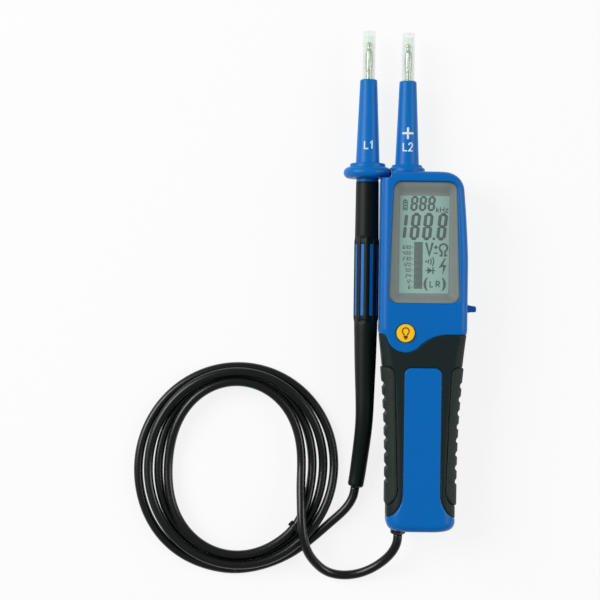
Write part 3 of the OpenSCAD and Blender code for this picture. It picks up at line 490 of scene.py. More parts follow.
def kept_faces(d, rows, columns):
    """Quads and triangles of the grid where the field d is not positive. A square that straddles the line
    along its diagonal gives the triangle on the inner side."""
    quads = grid_faces(rows, columns)
    e = d.reshape(-1)[quads]
    e = np.where(np.abs(e) < EDGE_TOL, 0, e)
    whole = quads[(e <= 0).all(1) & (e < 0).any(1)]
    halves = []
    for a, b, c, o in ((0, 1, 2, 3), (1, 2, 3, 0), (2, 3, 0, 1), (3, 0, 1, 2)):
        cut = (e[:, a] == 0) & (e[:, c] == 0) & (e[:, b] < 0) & (e[:, o] > 0)
        halves.append(quads[cut][:, [a, b, c]])
    return whole, np.concatenate(halves)


def roll(d, r):
    """Drop of a rounded edge at field value d: a quarter circle over the last r before the border."""
    return round_in(r + np.minimum(d, 0), r)


def welded(points, quads, triangles):
    """Points that some face uses, with equal ones made one, and the faces renumbered. Quads that have
    collapsed to a line are dropped first: half the cross product of the diagonals is a quad's area."""
    a, b, c, d = np.moveaxis(points[quads], 1, 0)
    quads = quads[np.linalg.norm(np.cross(c - a, d - b), axis=-1) > 1e-4]
    used, number = np.unique(np.concatenate([quads.ravel(), triangles.ravel()]), return_inverse=True)
    _, first, same = np.unique(np.round(points[used], 4), axis=0, return_index=True, return_inverse=True)
    number = same.ravel()[number.ravel()]
    squares, halves = number[:quads.size].reshape(-1, 4), number[quads.size:].reshape(-1, 3)
    return points[used][first], squares.tolist() + halves.tolist()


def skin(name, surface, rows, columns, keep, also, lift, wall):
    """A skin: the grid on surface, cut where the field keep is positive, snapped to the borders of keep and
    also, raised by lift along the form, and given a wall inwards. The fields and lift take x, y and z."""
    i, j = snapped(surface, rows, columns, (keep, *also))
    flat = surface(i, j)
    d = keep(*np.moveaxis(flat, -1, 0))
    out = lift(*np.moveaxis(flat, -1, 0))
    points, faces = welded(surface(i, j, out).reshape(-1, 3), *kept_faces(d, rows, columns))
    piece = link_mesh(name, points * MM, faces)
    add_wall(piece, wall)
    print(name, len(faces), "faces")
    return piece

# %% Rows and columns of the housing's grids
def spread(*stops):
    """Rows from stops (value, count, value, ..., value): count even steps between neighbouring values."""
    values, counts = stops[::2], stops[1::2]
    parts = [np.linspace(a, b, n, endpoint=False) for a, b, n in zip(values, values[1:], counts)]
    return np.concatenate(parts + [[values[-1]]])


quarter = lambda n: np.sin(np.linspace(0, np.pi / 2, n))
body_rows = np.concatenate([
    BODY_BOTTOM + LOW_CORNER * (1 - quarter(14)[::-1]),
    spread(BODY_BOTTOM + LOW_CORNER, 300, BODY_TOP - TOP_CORNER)[1:-1],
    BODY_TOP - TOP_CORNER + TOP_CORNER * quarter(30)])
CAP_ROWS = 14
half_columns = spread(0, CAP_ROWS, 1, 18, 2, 84, 3, 18, 4, CAP_ROWS, 5)


def half_skin(front):
    """Surface function of the front or rear half: fractional grid numbers to points. The first and last
    segments run from the parting plane, and extra rows at both ends fold the flat end faces down to that
    plane. There are as many of these as columns on a flank, so that points on the corner can be welded."""
    def surface(i, j, out=0.0):
        row = np.clip(i - CAP_ROWS, 0, len(body_rows) - 1)
        fold = np.clip(np.maximum(CAP_ROWS - i, i - CAP_ROWS - len(body_rows) + 1) / CAP_ROWS, 0, 1)
        y = np.interp(row, np.arange(len(body_rows)), body_rows)
        c = np.interp(j, np.arange(len(half_columns)), half_columns)
        share = part_share(y)
        if front:
            v = np.where(c < 1, mix(2 + share, 3, c), np.where(c > 4, mix(6, 7 - share, c - 4), c + 2))
        else:
            v = np.where(c < 1, mix(7 - share, 7, c), np.where(c > 4, mix(2, 2 + share, c - 4), c + 6))
            v = np.where((c >= 1) & (c < 2), c + 6, v)
            v = np.where((c >= 2) & (c <= 3), np.where(c < 2.5, 8 + (c - 2) * 2, (c - 2.5) * 2), v)
            v = np.where((c > 3) & (c <= 4), c - 2, v)
        p = form_point(y, v, out)
        p[..., 2] = mix(p[..., 2], PART_Z, fold)
        return p
    return surface


half_size = (len(body_rows) + 2 * CAP_ROWS, len(half_columns))
print("half skin grid", half_size)

# %% [markdown]
# ## Shells and overmould
# The blue front and rear shells meet on a plane through the probe axis. The black overmould lies flush in a
# bed in each shell, so under it the shell's skin is sunk, and both have a rolled edge: that gives the fine
# dark line between blue and black.

# %% Front and rear shells
BED, BED_SLOPE = 0.9, 0.3
SHELL_ROLL, GRIP_ROLL, WINDOW_ROLL = 0.22, 0.3, 0.9
SCREW_HOLE_R, COVER_GAP, BACK_DEPTH = 2.5, 0.2, 2.0
front_zone = lambda x, y, z: black_zone(x, y, PANEL_W, FLARE_R, True)
rear_zone = lambda x, y, z: black_zone(x, y, REAR_PANEL_W, REAR_FLARE_R, False)


def sunk_bed(zone):
    """How far a shell's skin drops under the overmould, with the blue edge rolled beside it."""
    return -BED * np.clip(-zone / BED_SLOPE, 0, 1) - roll(-zone, SHELL_ROLL)


def front_keep(x, y, z):
    """The front shell less its window, its button hole and the seat of the guard."""
    return inside_of(-window_field(x, y), -disc(x, y, BUTTON_AT, BUTTON_R + BUTTON_GAP), -seat_field(x, y))


def front_lift(x, y, z):
    """The bed under the overmould and the rolled rims of the window, the button hole and the seat."""
    hole = roll(-disc(x, y, BUTTON_AT, BUTTON_R + BUTTON_GAP), SHELL_ROLL)
    rims = roll(-window_field(x, y), WINDOW_ROLL) + hole + roll(-seat_field(x, y), SHELL_ROLL)
    return sunk_bed(front_zone(x, y, z)) - rims


def rear_keep(x, y, z):
    """The rear shell less the battery opening, the screw holes and the seat of the guard."""
    holes = [-disc(x, y, at, SCREW_HOLE_R) for at in SCREW_SPOTS]
    flat_back = any_of(inside_of(-cover_field(x, y) + COVER_GAP, *holes), BACK_DEPTH - z)
    return inside_of(flat_back, -seat_field(x, y))


def rear_lift(x, y, z):
    """The bed under the rear overmould."""
    return sunk_bed(rear_zone(x, y, z))


SHELL_WALL = 1.4
front_skin = skin("front_shell_skin", half_skin(True), *half_size, front_keep, (front_zone,), front_lift,
                  SHELL_WALL)
rear_skin = skin("rear_shell_skin", half_skin(False), *half_size, rear_keep, (rear_zone,), rear_lift,
                 SHELL_WALL)
for piece, node in ((front_skin, "front_shell"), (rear_skin, "rear_shell")):
    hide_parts(node)
    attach(piece, "main_unit")

# %% [markdown]
# The guard's seat is a notch through both shells. Its wall follows the seat's outline, and at each point
# runs from the front face down to the back face.

# %% Wall of the seat
def form_faces(x, y):
    """Z of the form's front and back faces at a place, with the rounded edges taken off."""
    right, left, top, back, r = section_sizes(y, 0.0)
    edge = round_in(np.maximum(x - right, -x - left) + r, r)
    return top - edge, back + edge


SEAT_WALL, SEAT_START, SEAT_END = 1.2, -20.5, 3.5
bend = np.radians(np.linspace(-90, SEAT_END, 30))
seat_x = np.concatenate([np.linspace(SEAT_START, SEAT_AT[0], 8)[:-1], SEAT_AT[0] + SEAT_R * np.cos(bend)])
seat_y = np.concatenate([np.full(7, SEAT_AT[1] - SEAT_R), SEAT_AT[1] + SEAT_R * np.sin(bend)])
seat_front, seat_back = form_faces(seat_x, seat_y)
drop = np.linspace(0, 1, 10)
seat_z = mix(seat_front[:, None] - SHELL_ROLL, seat_back[:, None], drop)
seat_grid = np.stack(np.broadcast_arrays(seat_x[:, None], seat_y[:, None], seat_z), -1)
seat = link_mesh("seat_wall", seat_grid.reshape(-1, 3) * MM, grid_faces(*seat_grid.shape[:2]))
add_wall(seat, SEAT_WALL)
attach(seat, "main_unit")
print("seat wall", seat_grid.shape)

# %% Front and rear overmould
PAD_GROOVE, PAD_BED = 0.4, 0.65


def pad_border(x, y, z):
    """The outline of both pads with the groove round them."""
    return any_of(pad_field(x, y, 1), pad_field(x, y, -1)) - PAD_GROOVE


def grip_lift(zone):
    """The overmould's rolled edge, and the sunk bed of each pad."""
    def lift(x, y, z):
        pads = np.where(z < PAD_BACK - PAD_GROOVE, 1.0, pad_border(x, y, z))
        return -roll(zone(x, y, z), GRIP_ROLL) - PAD_BED * np.clip(-pads / BED_SLOPE, 0, 1)
    return lift


GRIP_WALL = 0.7
front_grip = skin("front_grip_skin", half_skin(True), *half_size, front_zone, (pad_border,),
                  grip_lift(front_zone), GRIP_WALL)
rear_grip = skin("rear_grip_skin", half_skin(False), *half_size, rear_zone, (pad_border,),
                 grip_lift(rear_zone), GRIP_WALL)
for piece, node in ((front_grip, "front_grip"), (rear_grip, "rear_grip")):
    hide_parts(node)
    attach(piece, "main_unit")

# %% [markdown]
# ## Grip pads
# A rough rubber pad wraps each side of the grip. It stands proud by most of a millimetre, with a well
# rounded edge, and its outer side is bitten by a row of round notches. The notches are cut like the real
# ones, square to the front: a point that would lie beyond a notch is pulled back to it.

# %% Two notched pads
NOTCH_COUNT, NOTCH_PITCH, NOTCH_FIRST, NOTCH_R, NOTCH_SIT = 8, 6.55, -16.7, 1.5, 0.375
PAD_ROLL, PAD_WALL = 1.0, 1.2
pad_rows = np.linspace(PAD_LOW - 0.4, PAD_TOP + 0.4, 240)
pad_columns = spread(1.3, 16, 2, 22, 3, 26, 4, 30, 4.75)


def notch_limit(y):
    """The farthest side reach at y: the side of the form, drawn in by the circle of the nearest notch."""
    k = np.clip(np.round((NOTCH_FIRST - y) / NOTCH_PITCH), 0, NOTCH_COUNT - 1)
    off = y - (NOTCH_FIRST - k * NOTCH_PITCH)
    axis = section_sizes(NOTCH_FIRST - k * NOTCH_PITCH, PAD_PROUD)[0] + NOTCH_SIT
    bite = np.sqrt(np.maximum(NOTCH_R ** 2 - off ** 2, 0))
    return np.where(np.abs(off) < NOTCH_R, axis - bite, 99.0)


def pad_skin(side):
    """Surface function of the right (1) or left (-1) pad, with its notches."""
    def surface(i, j, out=0.0):
        y = np.interp(i, np.arange(len(pad_rows)), pad_rows)
        columns = pad_columns if side > 0 else 9 - pad_columns[::-1]
        p = form_point(y, np.interp(j, np.arange(len(columns)), columns), out)
        if np.ndim(out):
            p[..., 0] = side * np.minimum(side * p[..., 0], notch_limit(y))
        return p
    return surface


pads = []
for side, name in ((-1, "left_grip_pad"), (1, "right_grip_pad")):
    keep = lambda x, y, z, s=side: inside_of(pad_field(x, y, s), PAD_BACK - z)
    lift = lambda x, y, z, keep=keep: PAD_PROUD - roll(keep(x, y, z), PAD_ROLL)
    pad = skin(name + "_skin", pad_skin(side), len(pad_rows), len(pad_columns), keep, (), lift, PAD_WALL)
    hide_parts(name)
    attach(pad, "main_unit")
    pads.append(pad)

# %% [markdown]
# ## Finger lug and boot
# The small lug on the head's right flank is a stack of rounded rings that swell into the flank and close at
# the tip. The hand probe's long boot is a tapering tube that bends to the left and down to the table.

# %% Lug
LUG_Y, LUG_Z, LUG_REACH, LUG_ROOT, LUG_TIP = 20.2, 14.4, 4.8, 1.6, 0.7
LUG_HALF_W, LUG_HALF_H, LUG_FLARE, LUG_FLARE_LEN, LUG_DROOP = 1.45, 2.75, 2.6, 1.5, 0.05
tip_start = LUG_REACH - LUG_TIP
reach = np.concatenate([np.linspace(-LUG_ROOT, tip_start, 24), tip_start + LUG_TIP * quarter(10)[1:]])
close = np.sqrt(1 - np.clip((reach - tip_start) / LUG_TIP, 0, 0.98) ** 2)
waist = LUG_HALF_W + LUG_FLARE * np.exp(-(reach + LUG_ROOT) / LUG_FLARE_LEN)
lug_y, lug_z = super_ring(waist * mix(0.55, 1.0, close), LUG_HALF_H * mix(0.8, 1.0, close))
lug_x = np.broadcast_to((HEAD_W + reach)[:, None], lug_y.shape)
lug_rings = np.stack([lug_x, LUG_Y + lug_y - LUG_DROOP * reach[:, None], LUG_Z + lug_z], -1)
lug = capped_tube("finger_lug", lug_rings[:, ::-1] * MM)
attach(lug, "main_unit")
print("lug of", len(reach), "rings")

# %% [markdown]
# The boot starts inside the sleeve and comes out of it at a very small angle, so no ring shows where the
# two meet.

# %% Boot
BOOT_POINTS = np.array([
    (HAND_X, 7, PART_Z), (HAND_X, -8, PART_Z), (HAND_X, -18, PART_Z), (HAND_X, -27, PART_Z),
    (-27.3, -35, 10.9), (-28, -44, 8.8), (-29.1, -54, 6), (-30.1, -62, 4.5), (-30.9, -67, 4.2)])
BOOT_END_R, BOOT_TAPER, BOOT_SWELL, SWELL_LEN = 3.85, 0.0115, 0.78, 44.0
BOOT_RIM, RIM_SHARE, BOOT_STEP, BOOT_SIDES = 0.6, 0.8, 0.8, 48
boot_path, boot_along, _ = cubic_route(BOOT_POINTS, BOOT_STEP)
to_end = boot_along[-1] - boot_along
boot_radius = BOOT_END_R + BOOT_TAPER * to_end + BOOT_SWELL * (1 - ease(boot_along / SWELL_LEN))
boot_radius -= RIM_SHARE * round_in(BOOT_RIM - np.minimum(to_end, BOOT_RIM), BOOT_RIM)
boot = capped_tube("probe_boot", sweep(boot_path, boot_radius, BOOT_SIDES) * MM)
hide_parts("hand_probe_boot")
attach(boot, "hand_probe")
print("boot", round(float(boot_along[-1]), 1), "mm long")

# %% [markdown]
# ## Surround of the display
# Under the lens a grey tray runs from the window's edge down to the display. It is a loft between two
# outlines of the same kind, the rounded trapezium of the window and the rounded rectangle of the glass, so
# each point of the one has its partner on the other.

# %% Tray
LCD_W, LCD_H, LCD_Y, LCD_TOP = 23.8, 46.8, 50.65, 21.4
LCD_LAP, LCD_CORNER, LCD_GAP = 0.7, 0.6, 0.08
TRAY_TOP, TRAY_LAP, TRAY_STEPS, TRAY_WALL = 24.7, 0.1, 28, 0.6
TRAY_FLAT, TRAY_SLOPE = 0.12, 0.8


def rounded_outline(core, r, n=14):
    """Points round a convex polygon grown by r: a corner is an arc from one edge's normal to the next."""
    core = np.asarray(core, float)
    ahead = np.roll(core, -1, 0) - core
    normal = np.arctan2(-ahead[:, 0], ahead[:, 1])
    before = np.roll(normal, 1)
    q = before[:, None] + ((normal - before) % (2 * np.pi))[:, None] * np.linspace(0, 1, n)
    return (core[:, None] + r * np.stack([np.cos(q), np.sin(q)], -1)).reshape(-1, 2)


w, h = LCD_W / 2 - LCD_LAP, LCD_H / 2 - LCD_LAP
glass_core = [(-w, LCD_Y - h), (w, LCD_Y - h), (w, LCD_Y + h), (-w, LCD_Y + h)]
glass_edge = rounded_outline(glass_core, LCD_CORNER)
window_edge = rounded_outline(WINDOW_CORE, WINDOW_R + TRAY_LAP)
share = np.linspace(0, 1, TRAY_STEPS)[:, None]
tray_z = mix(TRAY_TOP, LCD_TOP + LCD_GAP, ease((share - TRAY_FLAT) / TRAY_SLOPE))
tray_xy = mix(window_edge[None], glass_edge[None], share[..., None])
tray_points = np.dstack([tray_xy, np.broadcast_to(tray_z, tray_xy.shape[:2])])
tray_faces = grid_faces(*tray_points.shape[:2], round_columns=True)[:, ::-1]
tray = link_mesh("display_surround", tray_points.reshape(-1, 3) * MM, tray_faces)
add_wall(tray, TRAY_WALL)
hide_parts("display_frame")
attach(tray, "main_unit")
print("tray", tray_points.shape)

# %% [markdown]
# ## The hand probe's sleeve
# The sleeve is a hollow turned form. Eight slots show the blue core, and between them stand rounded ribs
# that run a little past the slots' ends. One grid goes down the outside and back up the bore. In a slot it
# drops to a thin floor on the core, and the core's blue bars stand through that.

# %% Slotted sleeve with its ribs
SLEEVE_TOP, SLEEVE_LOW = 80.8, -22.0
SLOT_COUNT, SLOT_W, SLOT_LOW, SLOT_HIGH, SLOT_FLOOR, SLOT_EDGE = 8, 1.8, 15.9, 51.1, 5.0, 0.02
RIB_R, RIB_PAST, RIB_FADE, RIB_FALL = 6.0, 1.6, 2.4, 0.42
SLEEVE_OUT = np.array([
    (SLEEVE_LOW, 4.3), (-10.4, 4.84), (9, 5.6), (13.4, 5.65), (15, RIB_R), (52, RIB_R), (53.6, 5.75),
    (SLEEVE_TOP, 5.52)])
SLEEVE_BORE = np.array([
    (SLEEVE_LOW, 1.2), (-11.05, 1.2), (-11, 3.5), (2, 4.0), (8, 4.95), (SLEEVE_TOP, 4.95)])
slot_pitch, half_slot = 2 * np.pi / SLOT_COUNT, SLOT_W / 2 / RIB_R
slot_edge = half_slot + SLOT_EDGE / RIB_R
over_rib = np.linspace(slot_edge, slot_pitch - slot_edge, 14)
one_slot = np.append(np.linspace(-half_slot, half_slot, 4), over_rib)
off_slot = np.tile(np.minimum(np.abs(one_slot), slot_pitch - np.abs(one_slot)), SLOT_COUNT)
sleeve_turn = (slot_pitch * (np.arange(SLOT_COUNT)[:, None] + 0.5) + one_slot).ravel()
sleeve_y = np.unique(np.concatenate([
    np.linspace(SLEEVE_LOW, SLEEVE_TOP, 120), np.linspace(10, 17, 20), np.linspace(50, 56, 20),
    [SLOT_LOW - SLOT_EDGE, SLOT_LOW, SLOT_HIGH, SLOT_HIGH + SLOT_EDGE]]))[::-1]
past_slots = np.maximum(SLOT_LOW - sleeve_y, sleeve_y - SLOT_HIGH)
rib_share = 1 - ease((past_slots - RIB_PAST) / RIB_FADE)
crown = np.clip((off_slot - half_slot) / (slot_pitch / 2 - half_slot), 0, 1)
outer = np.interp(sleeve_y, *SLEEVE_OUT.T)[:, None] - RIB_FALL * rib_share[:, None] * (1 - crown) ** 2
in_slot = (past_slots <= 0)[:, None] & (off_slot < slot_edge - SLOT_EDGE / RIB_R / 2)
outer = np.where(in_slot, SLOT_FLOOR, outer)
bore = np.repeat(SLEEVE_BORE[:, 1:], len(sleeve_turn), axis=1)
sleeve_r = np.vstack([outer, bore])
along_sleeve = np.append(sleeve_y, SLEEVE_BORE[:, 0])[:, None] + 0 * sleeve_turn
sleeve_grid = np.stack([HAND_X + sleeve_r * np.sin(sleeve_turn), along_sleeve,
                        PART_Z + sleeve_r * np.cos(sleeve_turn)], -1)
sleeve_faces = grid_faces(*sleeve_grid.shape[:2], round_rows=True, round_columns=True)
sleeve = link_mesh("probe_sleeve", sleeve_grid.reshape(-1, 3) * MM, sleeve_faces)
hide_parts("hand_probe_sleeve")
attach(sleeve, "hand_probe")
print("sleeve of", len(sleeve_y), "outer rings with", SLOT_COUNT, "slots")

# %% [markdown]
# ## Printed marks
# The display's segments, the bulb on the button and the letters on the probes are thin printed strokes. A
# stroke is a ribbon: a line of points with a width at each. Full shapes are ribbons too, with a width that
# changes along them. A place function then lays the flat ribbon on a surface, so that letters follow the
# round cones.

# %% Ribbons and letters
def ribbon(line, width):
    """The two sides of a line (n, 2) with a width at each point, mitred at the corners: the offset runs
    along the mean of the two neighbouring normals, longer by one over the cosine of half the turn. Returns
    an array (n, 2, 2)."""
    line = np.asarray(line, float)
    way = np.diff(line, axis=0)
    way /= np.linalg.norm(way, axis=1, keepdims=True)
    normal = np.stack([-way[:, 1], way[:, 0]], -1)
    before, after = np.vstack([normal[:1], normal]), np.vstack([normal, normal[-1:]])
    mean = before + after
    mean /= np.maximum(np.linalg.norm(mean, axis=1, keepdims=True), 0.2)
    half_turn = np.clip((mean * before).sum(1, keepdims=True), 0.45, 1)
    reach = mean * np.broadcast_to(width, len(line))[:, None] / 2 / half_turn
    return np.stack([line - reach, line + reach], 1)


def circle_arc(at, r, start, end, n=24):
    """Points on a circle from one angle to another, in degrees."""
    q = np.radians(np.linspace(start, end, n))
    return np.stack([at[0] + r * np.cos(q), at[1] + r * np.sin(q)], -1)


def dot(at, r):
    """A full disc as a ribbon whose width follows the circle."""
    q = np.linspace(0.05, np.pi - 0.05, 12)
    return ribbon(np.stack([at[0] - r * np.cos(q), at[1] + 0 * q], -1), 2 * r * np.sin(q))


INK = 0.05
LETTERS = {
    "L": [[(0, 1), (0, 0), (1, 0)]],
    "V": [[(0, 1), (0.5, 0), (1, 1)]],
    "H": [[(0, 0), (0, 1)], [(1, 0), (1, 1)], [(0, 0.5), (1, 0.5)]],
    "k": [[(0, 0), (0, 1)], [(0.85, 0.68), (0, 0.28)], [(0.32, 0.43), (0.9, 0)]],
    "z": [[(0, 0.66), (0.9, 0.66), (0, 0), (0.95, 0)]],
    "R": [[(0, 0), (0, 1), (0.6, 1), (0.95, 0.88), (0.95, 0.62), (0.6, 0.5), (0, 0.5)],
          [(0.5, 0.5), (1, 0)]],
    "1": [[(0.15, 0.72), (0.6, 1), (0.6, 0)]],
    "+": [[(0, 0.5), (1, 0.5)], [(0.5, 0), (0.5, 1)]],
    "-": [[(0, 0.5), (1, 0.5)]],
    "2": [[(0.02, 0.72), (0.12, 0.92), (0.4, 1), (0.7, 0.97), (0.92, 0.8), (0.88, 0.58), (0.06, 0),
           (1, 0)]],
}


def letter(name, at, size, width):
    """Ribbons of a letter with its lower left corner at a point."""
    return [ribbon(np.array(line) * size + at, width) for line in LETTERS[name]]


SEGMENT_ENDS = {
    "a": ((0, 2), (1, 2)), "b": ((1, 2), (1, 1)), "c": ((1, 1), (1, 0)), "d": ((0, 0), (1, 0)),
    "e": ((0, 1), (0, 0)), "f": ((0, 2), (0, 1)), "g": ((0, 1), (1, 1))}
DIGITS = {
    "0": "abcdef", "1": "bc", "2": "abged", "3": "abgcd", "4": "fgbc", "5": "afgcd", "6": "afgedc",
    "8": "abcdefg", "9": "abcdfg"}


def digit(name, at, size, width, slant):
    """Ribbons of a seven-segment digit: each lit segment is a bar that narrows at both ends."""
    scale = np.array([size[0], size[1] / 2])
    bars = []
    for key in DIGITS[name]:
        a, b = (np.array(p, float) * scale for p in SEGMENT_ENDS[key])
        way = (b - a) / np.linalg.norm(b - a)
        gap, point = 0.16 * width, 0.36 * width
        line = np.array([a + way * gap, a + way * (gap + point), b - way * (gap + point), b - way * gap])
        line[:, 0] += line[:, 1] * slant
        bars.append(ribbon(line + at, np.array([0.3, 1, 1, 0.3]) * width))
    return bars


def printed(name, ribbons, place, body):
    """One thin piece from many ribbons: each is a grid of two columns laid down by place(x, y)."""
    starts = np.cumsum([0] + [2 * len(r) for r in ribbons])
    faces = np.concatenate([grid_faces(len(r), 2, start=s) for r, s in zip(ribbons, starts)])
    flat = np.concatenate([r.reshape(-1, 2) for r in ribbons])
    piece = link_mesh(name, place(flat[:, 0], flat[:, 1]) * MM, faces)
    add_wall(piece, INK)
    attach(piece, body)
    print(name, len(ribbons), "strokes")
    return piece

# %% [markdown]
# ## The display's segments
# All segments of the display are on, as in a self-test: a small row of digits with its unit, a large row, a
# bar graph with its scale, and symbols for volts, ohms, sound, high voltage, diode and phase rotation.

# %% Everything the display shows
SLANT, SMALL_DIGIT, LARGE_DIGIT, SCALE_DIGIT = 0.1, (2.4, 6.1), (2.95, 11.6), (0.8, 1.55)
ON_GLASS, ON_BUTTON, ON_CONE = 0.06, 0.05, 0.03


def on_display(x, y):
    """Display coordinates, in mm from its middle, to the face of the glass."""
    return np.stack([x, y + LCD_Y, LCD_TOP + ON_GLASS + 0 * x], -1)


shown = []
for x in (-6.45, -2.35, 1.8):
    shown += digit("8", (x, 16.5), SMALL_DIGIT, 1.05, SLANT)
shown += digit("1", (-12.65, 2.8), LARGE_DIGIT, 1.5, SLANT)
for x in (-6.45, -0.5, 6.35):
    shown += digit("8", (x, 2.8), LARGE_DIGIT, 1.5, SLANT)
shown.append(dot((4.55, 2.8), 0.66))
for name, x, wide in (("k", 5.6, 1.3), ("H", 7.5, 1.7), ("z", 9.9, 1.4)):
    shown += letter(name, (x, 15.5), (wide, 2.4), 0.42)

# Battery mark: an outline with a nub and three bars
shown.append(ribbon([(-10.2, 16.4), (-8.3, 16.4), (-8.3, 20.7), (-10.2, 20.7), (-10.2, 16.4)], 0.36))
shown.append(ribbon([(-9.75, 21.2), (-8.75, 21.2)], 0.55))
shown += [ribbon([(-9.8, y), (-8.7, y)], 0.8) for y in (17.2, 18.5, 19.8)]

# Bar graph and its scale
shown += [ribbon([(-4.75, y), (-0.7, y)], 0.46) for y in np.arange(-20.9, 1.3, 0.56)]
for k, number in enumerate(("6", "12", "24", "50", "120", "230", "400", "690")):
    y = -21.2 + 2.72 * k
    for place, name in enumerate(number[::-1]):
        shown += digit(name, (-7.35 - 1.4 * place, y), SCALE_DIGIT, 0.34, SLANT)
    shown.append(ribbon([(-5.9, y + 0.75), (-5.2, y + 0.75)], 0.26))

# Symbols
shown += letter("V", (0.9, -4.9), (3.1, 5.8), 1.05)
shown += letter("+", (4.6, -2.2), (1.9, 1.9), 0.6) + letter("-", (4.6, -5.0), (1.9, 1.9), 0.6)
ohm_bow = circle_arc((9.15, -1.5), 1.85, 245, -65, 30)
ohm = np.vstack([[(7.4, -5.2), (8.4, -5.2)], ohm_bow, [(9.9, -5.2), (10.9, -5.2)]])
shown.append(ribbon(ohm, 0.85))
shown.append(dot((1.0, -8.1), 0.5))
shown += [ribbon(circle_arc((0.6, -8.1), r, -32, 32, 14), 0.55) for r in (1.6, 2.8, 4.0)]
shown.append(ribbon([(10.1, -6.4), (8.0, -10.3), (9.5, -10.0)], np.array([0.5, 1.2, 0.9])))
shown.append(ribbon([(9.0, -9.9), (10.0, -10.2), (8.8, -14.3)], np.array([0.7, 1.2, 0.1])))
shown.append(ribbon([(0.7, -12.4), (5.6, -12.4)], 0.42))
shown.append(ribbon([(1.7, -12.4), (4.1, -12.4)], np.array([3.2, 0.1])))
shown.append(ribbon([(4.3, -14.0), (4.3, -10.8)], 0.6))
bracket = np.sin(np.linspace(0.25, np.pi - 0.25, 24)) * 1.3
shown.append(ribbon(circle_arc((5.2, -18.9), 4.7, 138, 222), bracket))
shown.append(ribbon(circle_arc((5.2, -18.9), 4.7, 42, -42), bracket))
shown += letter("L", (3.0, -20.2), (1.4, 2.7), 0.55) + letter("R", (5.9, -20.2), (1.6, 2.7), 0.55)
segments = printed("lcd_segments", shown, on_display, "main_unit")

# %% [markdown]
# The button's bulb is drawn with one line: a round glass that narrows to a neck, over a dark screw base in
# three steps. It rides the button, so it goes down with it.

# %% Bulb on the button
BUTTON_TOP = 27.807


def on_button(x, y):
    """Coordinates from the button's middle to its top face."""
    return np.stack([x + BUTTON_AT[0], y + BUTTON_AT[1], BUTTON_TOP + ON_BUTTON + 0 * x], -1)


glass = np.vstack([[(-0.75, -1.0)], circle_arc((0, 0.95), 1.6, 232, -52, 30), [(0.75, -1.0)]])
bulb = [ribbon(glass, 0.52)]
for half, y, width in ((0.98, -1.5, 0.72), (0.85, -2.2, 0.6), (0.45, -2.75, 0.42)):
    bulb.append(ribbon([(-half, y), (half, y)], width))
bulb_mark = printed("bulb_mark", bulb, on_button, "button")

# %% [markdown]
# The letters on the probes are laid round the cones: the flat x becomes an arc length, so the angle is x
# divided by the cone's radius at that height.

# %% Pole marks on the cones
NOSE_BASE, NOSE_TIP, NOSE_LEN, NOSE_EDGE = 5.75, 4.15, 40.5, 0.8
HAND_NOSE_Y, FIXED_NOSE_Y = 89.8, 89.2


def on_cone(axis_x, base_y):
    """A place function on the front of a probe's cone, just above it: x is arc length round the axis."""
    def place(x, y):
        r = mix(NOSE_BASE, NOSE_TIP, y / (NOSE_LEN - NOSE_EDGE)) + ON_CONE
        return np.stack([axis_x + r * np.sin(x / r), base_y + y, PART_Z + r * np.cos(x / r)], -1)
    return place


def cut_up(line, n=12):
    """A line with each of its spans cut into n, so that it can follow a curve."""
    line = np.asarray(line, float)
    t = np.arange(n)[None, :, None] / n
    return np.vstack([(line[:-1, None] * (1 - t) + line[1:, None] * t).reshape(-1, 2), line[-1:]])


def word(text, at, size, gap, width):
    """Ribbons of a short word, cut up finely."""
    ribbons = []
    for k, name in enumerate(text):
        corner = np.array(at) + (k * gap, 0)
        ribbons += [ribbon(cut_up(np.array(line) * size + corner), width) for line in LETTERS[name]]
    return ribbons


first_mark = word("L1", (-1.9, 6.7), (1.9, 3.7), 2.6, 0.66)
second_mark = word("L2", (-2.3, 6.5), (1.95, 3.8), 2.75, 0.66)
second_mark += word("+", (-2.85, 12.1), (5.7, 5.7), 0, 1.05)
pole_one = printed("pole_1_mark", first_mark, on_cone(HAND_X, HAND_NOSE_Y), "hand_probe")
pole_two = printed("pole_2_mark", second_mark, on_cone(FIXED_X, FIXED_NOSE_Y), "main_unit")

# %% [markdown]
# ## Finishes
# Every moulded surface on the tester comes from an eroded steel mould, so each has a fine grain, a slight
# unevenness of gloss and a barely visible drift of colour. One node group holds that effect. Each material
# places it with its own colours, grain size and gloss, and keeps its shader to itself.

# %% The moulded grain group
def new_group(name, inputs, outputs):
    """An empty shader node group with float or colour sockets, and its input and output nodes."""
    group = bpy.data.node_groups.new(name, "ShaderNodeTree")
    for side, sockets in (("INPUT", inputs), ("OUTPUT", outputs)):
        for label, kind in sockets:
            group.interface.new_socket(label, in_out=side, socket_type=kind)
    return group, group.nodes.new("NodeGroupInput"), group.nodes.new("NodeGroupOutput")


FLOAT, COLOUR = "NodeSocketFloat", "NodeSocketColor"
GRAIN_LOW, GRAIN_HIGH = 0.3, 0.7


def noise_at(tree, coordinates, detail):
    """A noise texture on the given coordinates."""
    noise = tree.nodes.new("ShaderNodeTexNoise")
    noise.inputs["Detail"].default_value = detail
    tree.links.new(coordinates, noise.inputs["Vector"])
    return noise


